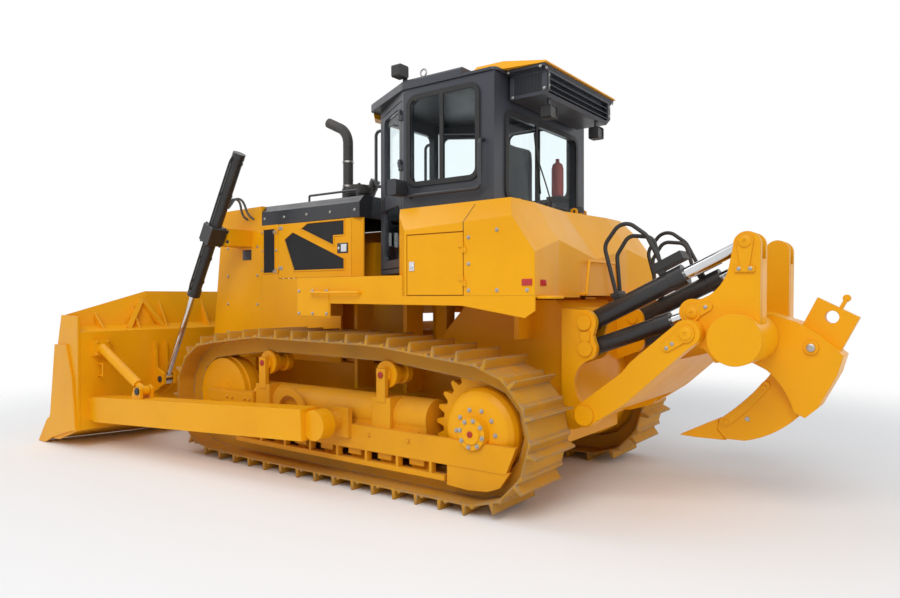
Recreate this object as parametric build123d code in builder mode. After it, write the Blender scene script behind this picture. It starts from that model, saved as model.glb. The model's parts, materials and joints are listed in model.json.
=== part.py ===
from build123d import *
import os
from math import atan2, cos, degrees, hypot, pi, radians, sin, sqrt

# Crawler bulldozer with a semi-U blade and a single-shank ripper.
# Frame: +X forward, +Y left, +Z up, millimetres.  The origin lies on the ground under the
# middle of the machine's overall length.

# ------------------------------------------------------------------ driving sizes
# running gear
gauge = 2000.0              # distance between the two chain centre lines
shoe_width = 560.0
shoe_count = 41
sprocket_x, sprocket_z = -1440.0, 565.0
sprocket_pin_radius = 434.0
sprocket_teeth = 25
idler_x, idler_z = 1590.0, 586.0
idler_pin_radius = 445.0
pin_height = 131.0          # chain pins above the grouser tips
rail_depth = 85.0           # chain pin down to the face that runs on the rollers
seat_height = 45.0          # chain pin up to the underside of a shoe
shoe_thickness = 15.0
roller_radius = 100.0
roller_first_x, roller_spacing, roller_number = -900.0, 322.0, 7
carrier_radius = 92.0
carriers = ((-551.0, 915.0), (884.0, 931.0))      # x, z of the two carrier rollers
running_gap = 0.5           # between parts that turn or slide on one another
seat_gap = 0.3              # between a bolted or welded part and what it sits on
roller_slack, carrier_slack = 2.0, 6.0            # chain links cut the corners over the rollers

# hull
frame_half_width = 470.0
hood_half_width = 600.0
hood_rear_x, hood_front_x = 340.0, 1630.0
hood_top_z = 2465.0
deck_z = 1710.0             # underside of the engine doors
panel = 8.0                 # sheet thickness of doors and covers

# fenders and rear tank
fender_half_width = 1150.0
walkway_front_x, walkway_z = 460.0, 1690.0
tank_front_x, tank_rear_x = -760.0, -1900.0
tank_bottom_z, tank_top_z = 1532.0, 2235.0
tank_door_x = -1310.0       # split line and hinges of the side doors
tank_door_wall = 12.0
tank_door_gap = 8.0         # round the side doors

# cab
cab_half_width, cab_nose_half_width = 780.0, 400.0
cab_rear_x, cab_side_front_x, cab_nose_x = -1340.0, -440.0, 156.0
cab_floor_z, cab_top_z = 1730.0, 3250.0
cab_wall = 60.0
glass_thickness = 8.0

# blade
blade_half_width = 1862.0
blade_back_x = 2900.0
blade_box_z = 1175.0
trunnion_x, trunnion_z = -120.0, 520.0
arm_width, arm_height = 200.0, 250.0
trunnion_radius = 75.0

# blade lift cylinders, both in planes parallel to the machine's centre plane
lift_y = 980.0
yoke_x, yoke_z = 1920.0, 2160.0
lift_eye_x, lift_eye_z = 2770.0, 640.0
lift_barrel_radius, lift_rod_radius = 58.0, 32.0

# ripper pivots, x and z
arm_foot = (-2035.0, 680.0)
arm_head = (-2750.0, 1283.0)
lift_foot = (-1994.0, 1146.0)
lift_head = (-2750.0, 1415.0)
tilt_foot = (-1985.0, 1336.0)
tilt_head = (-3083.0, 1876.0)
beam_tube = (-3036.0, 1249.0)
beam_tube_radius, beam_half_width = 168.0, 635.0
bracket_half_width = 575.0  # outer faces of the ripper bracket
bracket_plate = 45.0
ripper_arm_width = 100.0    # each side of the ripper arm, outside the bracket
side_gap = 6.0              # between the sides of parts that swing past one another
cylinder_y = 455.0          # planes of the four ripper cylinders

pieces = {}                 # finished sub-parts by node name
os.makedirs("parts", exist_ok=True)


def side_plane(y):
    """Plane parallel to XZ at y, whose sketch x is world X and sketch y is world Z."""
    return Plane(origin=(0, y, 0), x_dir=(1, 0, 0), z_dir=(0, -1, 0))


def mirrored(part):
    """The same piece on the other side of the machine."""
    with BuildPart() as other:
        mirror(part, about=Plane.XZ)
    return other


# ------------------------------------------------------------------ track geometry
# The chain pins run round these circles, seen from the left with X to the right,
# clockwise: x, z, radius of the pin path.
pin_over_roller = roller_radius + rail_depth + roller_slack
pin_over_carrier = carrier_radius + rail_depth + carrier_slack
roller_z = pin_height + pin_over_roller
roller_last_x = roller_first_x + roller_spacing * (roller_number - 1)
pin_circles = [
    (sprocket_x, sprocket_z, sprocket_pin_radius),
    (carriers[0][0], carriers[0][1], pin_over_carrier),
    (carriers[1][0], carriers[1][1], pin_over_carrier),
    (idler_x, idler_z, idler_pin_radius),
    (roller_last_x, roller_z, -pin_over_roller),
    (roller_first_x, roller_z, -pin_over_roller),
]


def pin_path(circles):
    """Belt round the circles as (length, start angle or point) spans.

    The two end rollers stand on the inside of the bottom run, so the belt passes under
    them, which the table says with a negative radius.
    """
    spans = []
    count = len(circles)
    tangents = []
    for i in range(count):
        xa, za, ra = circles[i]
        xb, zb, rb = circles[(i + 1) % count]
        ra, rb = abs(ra), abs(rb)
        dx, dz = xb - xa, zb - za
        far = hypot(dx, dz)
        ux, uz = dx / far, dz / far
        lean = (ra - rb) / far
        nx = -uz * sqrt(1 - lean * lean) + ux * lean
        nz = ux * sqrt(1 - lean * lean) + uz * lean
        tangents.append(((xa + ra * nx, za + ra * nz), (xb + rb * nx, zb + rb * nz), (nx, nz)))
    for i in range(count):
        start, end, normal = tangents[i]
        spans.append(("line", start, end, hypot(end[0] - start[0], end[1] - start[1])))
        x, z, r = circles[(i + 1) % count]
        turn = atan2(normal[1], normal[0]) - atan2(tangents[(i + 1) % count][2][1],
                                                   tangents[(i + 1) % count][2][0])
        turn %= 2 * pi
        if turn > 1.9 * pi:
            turn = 0.0
        spans.append(("arc", (x, z), (abs(r), atan2(normal[1], normal[0])), abs(r) * turn))
    return spans


def point_on(spans, distance):
    """Point (x, z) at a distance along the belt."""
    for kind, a, b, length in spans:
        if distance <= length:
            if kind == "line":
                share = distance / length
                return a[0] + (b[0] - a[0]) * share, a[1] + (b[1] - a[1]) * share
            angle = b[1] - distance / b[0]
            return a[0] + b[0] * cos(angle), a[1] + b[0] * sin(angle)
        distance -= length
    return point_on(spans, 0.0)


belt = pin_path(pin_circles)
belt_length = sum(span[3] for span in belt)
shoe_pitch = belt_length / shoe_count
pins = [point_on(belt, shoe_pitch * i) for i in range(shoe_count)]
print("shoe pitch", round(shoe_pitch, 2))

# One shoe along its link: t from the front pin towards the next, n outward from the pins.
shoe_top = seat_height + shoe_thickness
tip_height = pin_height
shoe_outline = (            # t, n
    (-16, shoe_top + 14),
    (2, shoe_top + 14),
    (14, shoe_top),
    (138, shoe_top),
    (147, tip_height),
    (163, tip_height),
    (174, shoe_top),
    (shoe_pitch - 20, shoe_top),
)


def on_link(i, t, n):
    """World (x, z) of a point given along link i."""
    xa, za = pins[i]
    xb, zb = pins[(i + 1) % shoe_count]
    far = hypot(xb - xa, zb - za)
    ux, uz = (xb - xa) / far, (zb - za) / far
    return xa + ux * t - uz * n, za + uz * t + ux * n


def link_loop(stations):
    """Closed outline through the same (t, n) stations on each link."""
    return [on_link(i, t, n) for i in range(shoe_count) for t, n in stations]


with BuildPart() as track_left:
    with BuildSketch(side_plane(gauge / 2)):
        with BuildLine():
            Polyline(*link_loop(shoe_outline), close=True)
        make_face()
        with BuildLine():
            Polyline(*link_loop(((shoe_pitch * 0.04, seat_height), (shoe_pitch * 0.9, seat_height))), close=True)
        make_face(mode=Mode.SUBTRACT)
    extrude(amount=shoe_width / 2, both=True)
    for offset_y in (-75, 75):
        with BuildSketch(side_plane(gauge / 2 + offset_y)):
            with BuildLine():
                Polyline(*link_loop(((shoe_pitch * 0.04, seat_height), (shoe_pitch * 0.9, seat_height))), close=True)
            make_face()
            with BuildLine():
                Polyline(*link_loop(((shoe_pitch * 0.10, -rail_depth), (shoe_pitch * 0.9, -rail_depth))), close=True)
            make_face(mode=Mode.SUBTRACT)
        extrude(amount=23, both=True)
pieces["track_left"] = track_left
pieces["track_right"] = mirrored(track_left.part)

# ------------------------------------------------------------------ wheels of the tracks
chain_y = gauge / 2
link_outer = 98.0           # outer faces of the link rails either side of the chain centre
link_inner = 52.0
tooth_tip, tooth_root = sprocket_pin_radius + 20, sprocket_pin_radius - 42
tooth_half_width = 34.0
tooth_angle = 360 / sprocket_teeth
chain_start = degrees(atan2(pins[0][1] - sprocket_z, pins[0][0] - sprocket_x))


def axle_plane(x, z, y):
    """Plane across an axle that runs along Y, facing outward on the left side."""
    return Plane(origin=(x, y, z), x_dir=(1, 0, 0), z_dir=(0, -1, 0))


def turned(profile, x, z):
    """Revolve (y, r) points about the axle through x, z; made in the active part."""
    plane = Plane(origin=(x, 0, z), x_dir=(0, 1, 0), z_dir=(1, 0, 0))
    with BuildSketch(plane) as section:
        with BuildLine():
            Polyline(*profile, close=True)
        make_face()
    revolve(section.sketch, axis=Axis((x, 0, z), (0, 1, 0)))


def sprocket_side(side):
    """Toothed rim and bolted hub of one sprocket, side = 1 left, -1 right."""
    middle = side * chain_y
    teeth = []
    for i in range(sprocket_teeth):
        base = radians(chain_start + tooth_angle * (i + 0.5))
        for turn, radius in ((-0.34, tooth_root), (-0.12, tooth_tip), (0.12, tooth_tip), (0.34, tooth_root)):
            angle = base + radians(tooth_angle * turn)
            teeth.append((sprocket_x + radius * cos(angle), sprocket_z + radius * sin(angle)))
    with BuildSketch(side_plane(middle)) as rim:
        with BuildLine():
            Polyline(*teeth, close=True)
        make_face()
    extrude(rim.sketch, amount=tooth_half_width, both=True)
    turned([(side * (chain_y + y), r) for y, r in (
        (-70, 0), (55, 0), (55, 250), (34, 300), (-45, 320), (-70, 300))], sprocket_x, sprocket_z)


with BuildPart() as sprockets:
    for side in (1, -1):
        sprocket_side(side)
pieces["sprockets"] = sprockets

idler_tread = idler_pin_radius * cos(shoe_pitch / idler_pin_radius / 2) - rail_depth - running_gap
idler_profile = (           # y from the chain centre, radius
    (-110, 0), (-110, 150), (-98, 150), (-98, idler_tread), (-50, idler_tread),
    (-44, idler_tread + 18), (44, idler_tread + 18), (50, idler_tread), (98, idler_tread),
    (98, 150), (110, 150), (110, 0),
)
with BuildPart() as idlers:
    for side in (1, -1):
        turned([(side * chain_y + y, r) for y, r in idler_profile], idler_x, idler_z)
pieces["idlers"] = idlers

roller_profile = (          # y from the chain centre, radius
    (-150, 0), (-150, 42), (-122, 42), (-122, 124), (-102, 124), (-100, roller_radius),
    (-50, roller_radius), (-44, 84), (44, 84), (50, roller_radius), (100, roller_radius),
    (102, 124), (122, 124), (122, 42), (150, 42), (150, 0),
)
with BuildPart() as track_rollers:
    for side in (1, -1):
        for i in range(roller_number):
            turned([(side * chain_y + y, r) for y, r in roller_profile],
                   roller_first_x + roller_spacing * i, roller_z)
pieces["track_rollers"] = track_rollers

carrier_profile = (         # y from the chain centre, radius
    (-120, 0), (-120, 70), (-100, 70), (-100, carrier_radius), (-46, carrier_radius),
    (-40, 70), (40, 70), (46, carrier_radius), (100, carrier_radius), (100, 108),
    (124, 108), (124, 60), (150, 60), (150, 0),
)
with BuildPart() as carrier_rollers:
    for side in (1, -1):
        for x, z in carriers:
            turned([(side * (chain_y + y), r) for y, r in carrier_profile], x, z)
pieces["carrier_rollers"] = carrier_rollers

# ------------------------------------------------------------------ track frames
frame_outer_y, frame_inner_y = 1215.0, 790.0
frame_top_z, frame_low_z = 505.0, 315.0
frame_tail_x = -1790.0
recoil_radius = 150.0
recoil_z = 590.0
recoil_rear_x = sprocket_x + tooth_tip + 20
cover_radius = 322.0        # dome over the final drive, inside the chain
cover_face_radius = 195.0
cover_face_y = 1180.0
post_outer_y = 1185.0

frame_outline = (           # x, z of the deep outer beam seen from the side
    (frame_tail_x, frame_top_z), (frame_tail_x + 80, frame_low_z), (1180, frame_low_z),
    (1240, 380), (1240, frame_top_z),
)
guard_outline = (           # x, z of the stone guard under the sprocket
    (-1740, 330), (-1660, 215), (-1560, 175), (-1400, 160), (-1210, 170), (-1210, 330),
)


def bar(x0, x1, y0, y1, z0, z1, mode=Mode.ADD):
    """Plain block between two corners, made in the active part."""
    with BuildSketch(Plane.XY.offset(z0)) as foot:
        with Locations(((x0 + x1) / 2, (y0 + y1) / 2)):
            Rectangle(x1 - x0, y1 - y0)
    extrude(foot.sketch, amount=z1 - z0, mode=mode)


def plate(points, y0, y1, mode=Mode.ADD):
    """Flat plate parallel to XZ from its (x, z) corners, made in the active part."""
    with BuildSketch(side_plane(y0)) as outline:
        with BuildLine():
            Polyline(*points, close=True)
        make_face()
    extrude(outline.sketch, amount=-(y1 - y0), mode=mode)


def rod(x, z, radius, y0, y1, mode=Mode.ADD):
    """Round bar along Y, made in the active part."""
    with BuildSketch(axle_plane(x, z, y0)) as end:
        Circle(radius)
    extrude(end.sketch, amount=-(y1 - y0), mode=mode)


def rod_up(x, y, radius, z0, z1, mode=Mode.ADD):
    """Upright round bar, made in the active part."""
    with BuildSketch(Plane.XY.offset(z0)) as end:
        with Locations((x, y)):
            Circle(radius)
    extrude(end.sketch, amount=z1 - z0, mode=mode)


def both(side, y0, y1):
    """Low and high y of a stretch on one side of the machine."""
    return sorted((side * y0, side * y1))


def tube_along(start, direction, length, radius, bore=0.0, floor=0.0):
    """Round tube from a point along a direction, closed at its start for a floor's length."""
    with BuildSketch(Plane(origin=start, z_dir=direction)) as ring:
        Circle(radius)
    extrude(ring.sketch, amount=length)
    if bore:
        with BuildSketch(Plane(origin=start + direction * floor, z_dir=direction)) as inside:
            Circle(bore)
        extrude(inside.sketch, amount=length, mode=Mode.SUBTRACT)


def pipe(points, radius, corner):
    """Bent pipe through the points with round corners, in the active part."""
    with BuildLine() as route:
        path = FilletPolyline(*points, radius=corner)
    with BuildSketch(Plane(origin=path @ 0, z_dir=path % 0)) as end:
        Circle(radius)
    sweep(end.sketch, path=route.wires()[0])


with BuildPart() as track_frame_left:
    plate(frame_outline, frame_outer_y - 40, frame_outer_y)                 # outer web
    bar(-900, 1180, frame_inner_y, frame_inner_y + 40, 330, 500)            # inner web
    bar(-900, 1180, frame_inner_y + 30, frame_outer_y - 30, 455, 505)       # top plate
    # recoil housing on top of the beam
    with BuildSketch(Plane(origin=(recoil_rear_x, chain_y, recoil_z), x_dir=(0, 1, 0), z_dir=(1, 0, 0))):
        Circle(recoil_radius)
    extrude(amount=1080 - recoil_rear_x)
    bar(recoil_rear_x, 1080, chain_y - 140, chain_y + 140, 490, recoil_z)
    # idler fork and its bearing blocks
    for inner, outer in ((-205, -135), (135, 205)):
        bar(1000, 1690, chain_y + inner, chain_y + outer, 540, 640)
    bar(1000, 1120, chain_y - 205, chain_y + 205, 540, 660)
    rod(idler_x, idler_z, 70, chain_y + 110.3, chain_y + 140)
    rod(idler_x, idler_z, 70, chain_y - 140, chain_y - 110.3)
    # carrier posts
    for x, z in carriers:
        bar(x - 95, x + 95, chain_y + 60, post_outer_y, 500, 740)
        bar(x - 45, x + 45, chain_y + 150.3, chain_y + 190, 700, z + 50)
    # roller guards: outer ribbed plates with a rail along their foot
    for y0, y1 in ((chain_y + 150.3, chain_y + 175), (chain_y - 175, chain_y - 150.3)):
        bar(-1060, 1190, y0, y1, 300, 480)
        for i in range(roller_number):
            x = roller_first_x + roller_spacing * i
            bar(x - 70, x + 70, y0, y1, roller_z - 60, 330)
    bar(-1190, 1230, chain_y + 170, frame_outer_y, 195, 235)
    for i in range(roller_number + 1):
        x = roller_first_x + roller_spacing * (i - 0.5)
        bar(x - 12, x + 12, chain_y + 160, frame_outer_y, 230, 330)
    # stone guard below the sprocket
    plate(guard_outline, frame_outer_y - 35, frame_outer_y - 5)
    # trunnion for the push arm
    plate(((-260, 400), (120, 400), (150, 470), (60, 600), (-60, 640), (-260, 640)),
          frame_outer_y - 10, frame_outer_y + 40)
    rod(trunnion_x, trunnion_z, trunnion_radius, frame_outer_y + 30, 1440)
pieces["track_frame_left"] = track_frame_left
pieces["track_frame_right"] = mirrored(track_frame_left.part)

cover_profile = (           # y, radius of the dome over the final drive
    (1058, 0), (1058, cover_radius - 8), (1100, cover_radius - 12), (1135, 290), (1160, 255),
    (cover_face_y, cover_face_radius), (cover_face_y, 118), (1240, 112), (1240, 78), (1252, 70), (1252, 0),
)
with BuildPart() as drive_covers:
    for side in (1, -1):
        turned([(side * y, r) for y, r in cover_profile], sprocket_x, sprocket_z)
        # the web of the track frame passes outside the lower half of the dome
        with BuildSketch(side_plane(side * (frame_outer_y + 20))):
            with Locations((sprocket_x, 0)):
                Rectangle(900, 2 * (frame_top_z + 0.5))
        extrude(amount=side * 62, mode=Mode.SUBTRACT)
pieces["drive_covers"] = drive_covers

with BuildPart() as final_drives:
    for side in (1, -1):
        turned([(side * y, r) for y, r in (
            (frame_half_width, 0), (frame_half_width, 250), (640, 300), (800, 300), (880, 260),
            (929.5, 240), (929.5, 0))], sprocket_x, sprocket_z)
pieces["final_drives"] = final_drives

# ------------------------------------------------------------------ main frame
hull_rear_x = -1800.0
with BuildPart() as main_frame:
    # steering case and transmission at the rear
    plate(((hull_rear_x, 420), (-700, 420), (-600, 560), (-600, 1180), (-900, 1500),
           (-1700, 1500), (hull_rear_x, 1400)), -frame_half_width, frame_half_width)
    # side rails under the engine
    for y0, y1 in ((-frame_half_width, -330), (330, frame_half_width)):
        bar(-650, 1900, y0, y1, 620, 900)
    bar(-650, 1900, -340, 340, 560, 600 + 30)
    bar(1750, 1900, -340, 340, 600, 900)
    # pivot shaft and equalizer bar that carry the two track frames
    rod(-700, 480, 70, -frame_inner_y + 0.3, frame_inner_y - 0.3)
    bar(620, 760, -frame_inner_y + 0.3, frame_inner_y - 0.3, 470, 620)
    # posts under the cab's rubber mounts
    for x in (-1240, -560):
        for y in (-360, 360):
            bar(x - 60, x + 60, y - 60, y + 60, 1150, cab_floor_z - 0.5)
pieces["main_frame"] = main_frame

with BuildPart() as engine_block:
    bar(360, 1480, -260, 260, 900 + seat_gap, 2050)
    for x in (460, 1280):
        bar(x, x + 120, -420, 420, 900 + seat_gap, 960)
pieces["engine_block"] = engine_block

# ------------------------------------------------------------------ radiator guard and hood
guard_foot_x, guard_head_x = 2480.0, 2290.0
guard_wall = 60.0
with BuildPart() as radiator_guard:
    plate(((hood_front_x, 900.5), (guard_foot_x, 900.5), (guard_head_x, hood_top_z - 15),
           (hood_front_x, hood_top_z)), -hood_half_width, hood_half_width)
    with BuildSketch(Plane(origin=(hood_front_x - 50, 0, 0), x_dir=(0, 1, 0), z_dir=(1, 0, 0))):
        with Locations((0, 1690)):
            Rectangle(2 * (hood_half_width - guard_wall), 1380)
    extrude(amount=1200, mode=Mode.SUBTRACT)
    for side in (1, -1):
        # bracket that carries the lift cylinder's yoke
        bar(yoke_x - 130, yoke_x + 110, *sorted((side * (hood_half_width - 1), side * (lift_y - 110))),
            yoke_z - 110, yoke_z + 60)
pieces["radiator_guard"] = radiator_guard

with BuildPart() as radiator_grille:
    with BuildSketch(Plane(origin=(2180, 0, 0), x_dir=(0, 1, 0), z_dir=(1, 0, 0))) as bars:
        with Locations((0, 1690)):
            Rectangle(2 * (hood_half_width - guard_wall - 0.5), 1379)
            with GridLocations(80, 440, 13, 3):
                Rectangle(52, 410, mode=Mode.SUBTRACT)
    extrude(bars.sketch, amount=40)
pieces["radiator_grille"] = radiator_grille

hood_band_z = 2262.0        # lower edge of the black top
with BuildPart() as hood:
    with BuildSketch(Plane(origin=(hood_rear_x - 100, 0, 0), x_dir=(0, 1, 0), z_dir=(1, 0, 0))):
        with BuildLine():
            Polyline((-hood_half_width, hood_band_z), (-hood_half_width, 2400), (-540, 2465),
                     (540, 2465), (hood_half_width, 2400), (hood_half_width, hood_band_z), close=True)
        make_face()
    extrude(amount=hood_front_x - 0.5 - hood_rear_x + 100)
    with BuildSketch(Plane.XY.offset(hood_band_z)):
        with Locations(((hood_rear_x + hood_front_x) / 2 - 50, 0)):
            Rectangle(hood_front_x - hood_rear_x, 2 * (hood_half_width - 30))
    extrude(amount=170, mode=Mode.SUBTRACT)
pieces["hood"] = hood

# ------------------------------------------------------------------ engine side panels and doors
door_front_x, door_rear_x = 1370.0, 345.0
door_low_z, door_high_z = deck_z + 4, hood_band_z - 4
door_seam = 3.0             # round the engine doors
hinge_radius = 7.0
hinge_x, hinge_y = door_front_x + door_seam / 2, hood_half_width + hinge_radius + 1
hinge_heights = (deck_z + 90, hood_band_z - 60)
with BuildPart() as side_panels:
    for side in (1, -1):
        low, high = sorted((side * (hood_half_width - panel), side * hood_half_width))
        bar(door_front_x + door_seam, hood_front_x - seat_gap, low, high, deck_z - 1, hood_band_z - seat_gap)
        # lower side sheet from the radiator guard back to the walkway
        low, high = sorted((side * (hood_half_width - 20), side * hood_half_width))
        bar(480, hood_front_x - seat_gap, low, high, 905, deck_z)
        # bolted panel that closes the rear of the engine bay, leaning inward
        with BuildSketch(Plane.XY.offset(door_low_z)):
            with BuildLine():
                Polyline((door_rear_x - door_seam, side * hood_half_width), (hood_rear_x - 100, side * 545),
                         (hood_rear_x - 100, side * 530),
                         (door_rear_x - door_seam, side * (hood_half_width - 14)), close=True)
            make_face()
        extrude(amount=hood_band_z - seat_gap - door_low_z)
        # hinge knuckles at the door's front edge
        for z in hinge_heights:
            rod_up(hinge_x, side * hinge_y, hinge_radius, z - 30, z - seat_gap)
            bar(hinge_x, hinge_x + 22, *both(side, hood_half_width - 1, hinge_y), z - 30, z - seat_gap)
pieces["side_panels"] = side_panels

mesh_windows = (            # corners (x, z) of the two meshed openings of an engine door
    ((1020, 2195), (935, 2240), (440, 2240), (440, 2110), (580, 2110), (580, 2020)),
    ((1150, 2165), (1270, 2100), (1130, 1790), (440, 1790), (440, 1880)),
)
with BuildPart() as engine_door_left:
    bar(door_rear_x, door_front_x, hood_half_width - panel, hood_half_width, door_low_z, door_high_z)
    for corners in mesh_windows:
        with BuildSketch(side_plane(hood_half_width)):
            with BuildLine():
                Polyline(*corners, close=True)
            make_face()
        extrude(amount=4, mode=Mode.SUBTRACT)
    for z in hinge_heights:
        rod_up(hinge_x, hinge_y, hinge_radius, z, z + 30)
        bar(hinge_x - 22, hinge_x, hood_half_width - 1, hinge_y, z, z + 30)
pieces["engine_door_left"] = engine_door_left
pieces["engine_door_right"] = mirrored(engine_door_left.part)

# ------------------------------------------------------------------ fenders and walkways
tank_gap = 8.0              # between the walkway and the tank's front
skirt_outline = (           # x, z
    (walkway_front_x, walkway_z), (walkway_front_x, 1350), (50, 1350), (50, 1470), (-1300, 1460),
    (-1820, 1380), (tank_rear_x, 1430), (tank_rear_x, tank_bottom_z - 0.5),
    (tank_front_x + 2.5 * tank_gap, tank_bottom_z - 0.5), (tank_front_x + 2.5 * tank_gap, walkway_z),
)


def tank_edge(gap):
    """Plan of the tank's skewed front, from the outside in, moved forward by gap."""
    return [(tank_front_x + gap, fender_half_width - 5), (tank_front_x + 180 + gap, 996),
            (tank_front_x + 330 + gap, cab_half_width + 12)]


with BuildPart() as fender_left:
    plate(skirt_outline, fender_half_width - 10, fender_half_width)
    for low, high in ((walkway_z - 10, walkway_z), (tank_bottom_z - 12, walkway_z - 5)):
        with BuildSketch(Plane.XY.offset(low)) as walkway:
            with BuildLine():
                Polyline((walkway_front_x, hood_half_width + 0.5), (walkway_front_x, fender_half_width - 5),
                         *tank_edge(tank_gap), (tank_edge(tank_gap)[-1][0], hood_half_width + 0.5), close=True)
            make_face()
            if high < walkway_z:
                with BuildLine():
                    Polyline((walkway_front_x + 9, hood_half_width), (walkway_front_x + 9, fender_half_width + 5),
                             *tank_edge(tank_gap + 10), (tank_edge(tank_gap + 10)[-1][0], hood_half_width),
                             close=True)
                make_face(mode=Mode.SUBTRACT)
        extrude(walkway.sketch, amount=high - low)
    bar(tank_rear_x, tank_front_x + 30, frame_half_width + 0.5, fender_half_width - 5,
        tank_bottom_z - 12, tank_bottom_z - 0.5)
    bar(walkway_front_x - 10, walkway_front_x, hood_half_width + 0.5, fender_half_width - 5, 1350, walkway_z)
    # raised cover plate, grab bar along the skirt and the loop at the rear corner
    bar(60, walkway_front_x - 10, fender_half_width - 1, fender_half_width + 6, 1362, 1600)
    pipe(((-300, fender_half_width - 4, 1560), (-300, fender_half_width + 46, 1560),
          (250, fender_half_width + 46, 1560), (250, fender_half_width - 4, 1560)), 11, 26)
    pipe(((tank_rear_x + 6, 1105, 1521), (tank_rear_x - 95, 1105, 1521), (tank_rear_x - 95, 915, 1521),
          (tank_rear_x + 6, 915, 1521)), 11, 32)
    # consoles that carry the walkway from the frame
    for x, foot, top in ((-1500, 1200, tank_bottom_z), (-400, 700, walkway_z), (180, 700, walkway_z)):
        bar(x, x + 40, frame_half_width + seat_gap, hood_half_width + 90, foot, top - 5)
pieces["fender_left"] = fender_left
pieces["fender_right"] = mirrored(fender_left.part)

# ------------------------------------------------------------------ rear tank and its doors
tank_inner_y = cab_half_width + 12


def bevel(a, b, c):
    """Plane through three points, its normal pointing up."""
    va = Vector(*b) - Vector(*a)
    vb = Vector(*c) - Vector(*a)
    normal = va.cross(vb)
    if normal.Z < 0:
        normal = normal * -1
    return Plane(origin=a, z_dir=normal)


def tank_half():
    """Left half of the faceted body round the back of the cab."""
    bevels = [
        bevel((-1770, fender_half_width, 2085), (tank_front_x, fender_half_width, 2035), (-1641, 996, 2224)),
        bevel((-1818, 648, 1942), (-1620, 649, 2225), (tank_rear_x, fender_half_width, 1915)),
        bevel((-1818, 648, 1942), (-1818, -648, 1942), (-1620, 0, 2225)),
    ]
    with BuildPart(mode=Mode.PRIVATE) as half:
        with BuildSketch(Plane.XY.offset(tank_bottom_z)):
            with BuildLine():
                Polyline((tank_front_x, fender_half_width), (tank_front_x + 180, 996),
                         (tank_front_x + 330, tank_inner_y), (cab_rear_x - 15, tank_inner_y), (cab_rear_x - 15, 0),
                         (-1818, 0), (-1818, 648), (tank_rear_x, fender_half_width), close=True)
            make_face()
        extrude(amount=tank_top_z - tank_bottom_z)
        for plane in bevels:
            split(bisect_by=plane, keep=Keep.BOTTOM)
    return half.part


def door_room(gap):
    """Space of the left side door, wider by gap all round."""
    front, low, high = tank_front_x - 30 + gap, tank_bottom_z + 6 - gap, 1990 + gap
    return Pos((tank_door_x - gap + front) / 2, fender_half_width, (low + high) / 2) * Box(
        front - tank_door_x + gap, 2 * (tank_door_wall + gap), high - low)


tank_hinge_heights = (1640.0, 1880.0)
tank_hinge_x, tank_hinge_y = tank_door_x - tank_door_gap / 2, fender_half_width + hinge_radius + 1
tank_eyes = ((-1400.0, 520.0), (-1400.0, -520.0), (-1480.0, -290.0), (-1480.0, -470.0))    # x, y
filler_x, filler_y = -1480.0, -380.0
filler_radius = 46.0
left_half = tank_half()
door_skin = left_half & door_room(0)
tank_shell = left_half - door_room(tank_door_gap)
with BuildPart() as rear_tank:
    add(tank_shell)
    for z in tank_hinge_heights:
        rod_up(tank_hinge_x, tank_hinge_y, hinge_radius, z - 40, z - seat_gap)
        bar(tank_hinge_x - 28, tank_hinge_x, fender_half_width - 1, tank_hinge_y, z - 40, z - seat_gap)
    mirror(about=Plane.XZ)
    # lifting eyes and the filler neck
    for x, y in tank_eyes:
        bar(x - 32, x + 32, y - 8, y + 8, tank_top_z - 30, tank_top_z + 30)
        rod(x, tank_top_z + 30, 32, y - 8, y + 8)
        rod(x, tank_top_z + 32, 14, y - 10, y + 10, mode=Mode.SUBTRACT)
    rod_up(filler_x, filler_y, filler_radius - 8, tank_top_z - 20, tank_top_z + 24)
pieces["rear_tank"] = rear_tank
with BuildPart() as fillers:
    rod_up(filler_x, filler_y, filler_radius, tank_top_z + 24 + seat_gap, tank_top_z + 68)
    rod_up(filler_x, filler_y, filler_radius - 14, tank_top_z + 66, tank_top_z + 80)
pieces["fillers"] = fillers
with BuildPart() as tank_door_left:
    add(door_skin)
    for z in tank_hinge_heights:
        rod_up(tank_hinge_x, tank_hinge_y, hinge_radius, z, z + 40)
        bar(tank_hinge_x, tank_hinge_x + 40, fender_half_width - 1, tank_hinge_y, z, z + 40)
pieces["tank_door_left"] = tank_door_left
pieces["tank_door_right"] = mirrored(tank_door_left.part)

# ------------------------------------------------------------------ cab
cab_plan = (
    (cab_rear_x, cab_half_width), (cab_side_front_x, cab_half_width), (cab_nose_x, cab_nose_half_width),
    (cab_nose_x, -cab_nose_half_width), (cab_side_front_x, -cab_half_width), (cab_rear_x, -cab_half_width),
)
facet_dx = cab_nose_x - cab_side_front_x
facet_dy = cab_nose_half_width - cab_half_width
facet_length = hypot(facet_dx, facet_dy)
facet_dir = (facet_dx / facet_length, facet_dy / facet_length, 0)
facet = Plane(origin=(cab_side_front_x, cab_half_width, 0), x_dir=(-facet_dir[0], -facet_dir[1], 0),
              z_dir=(-facet_dir[1], facet_dir[0], 0))
right_facet = Plane(origin=(cab_side_front_x, -cab_half_width, 0), x_dir=(facet_dir[0], -facet_dir[1], 0),
                    z_dir=(-facet_dir[1], -facet_dir[0], 0))
door_start, door_end = 50.0, facet_length - 55.0   # along the facet
door_floor_z, door_head_z = cab_floor_z + 40, cab_top_z - 70
side_window = (-1185.0, -510.0, 2460.0, 3160.0)    # x0, x1, z0, z1
rear_window = (-600.0, 600.0, 2300.0, 2960.0)      # y0, y1, z0, z1
front_window = (-330.0, 330.0, 2200.0, 3140.0)


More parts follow.
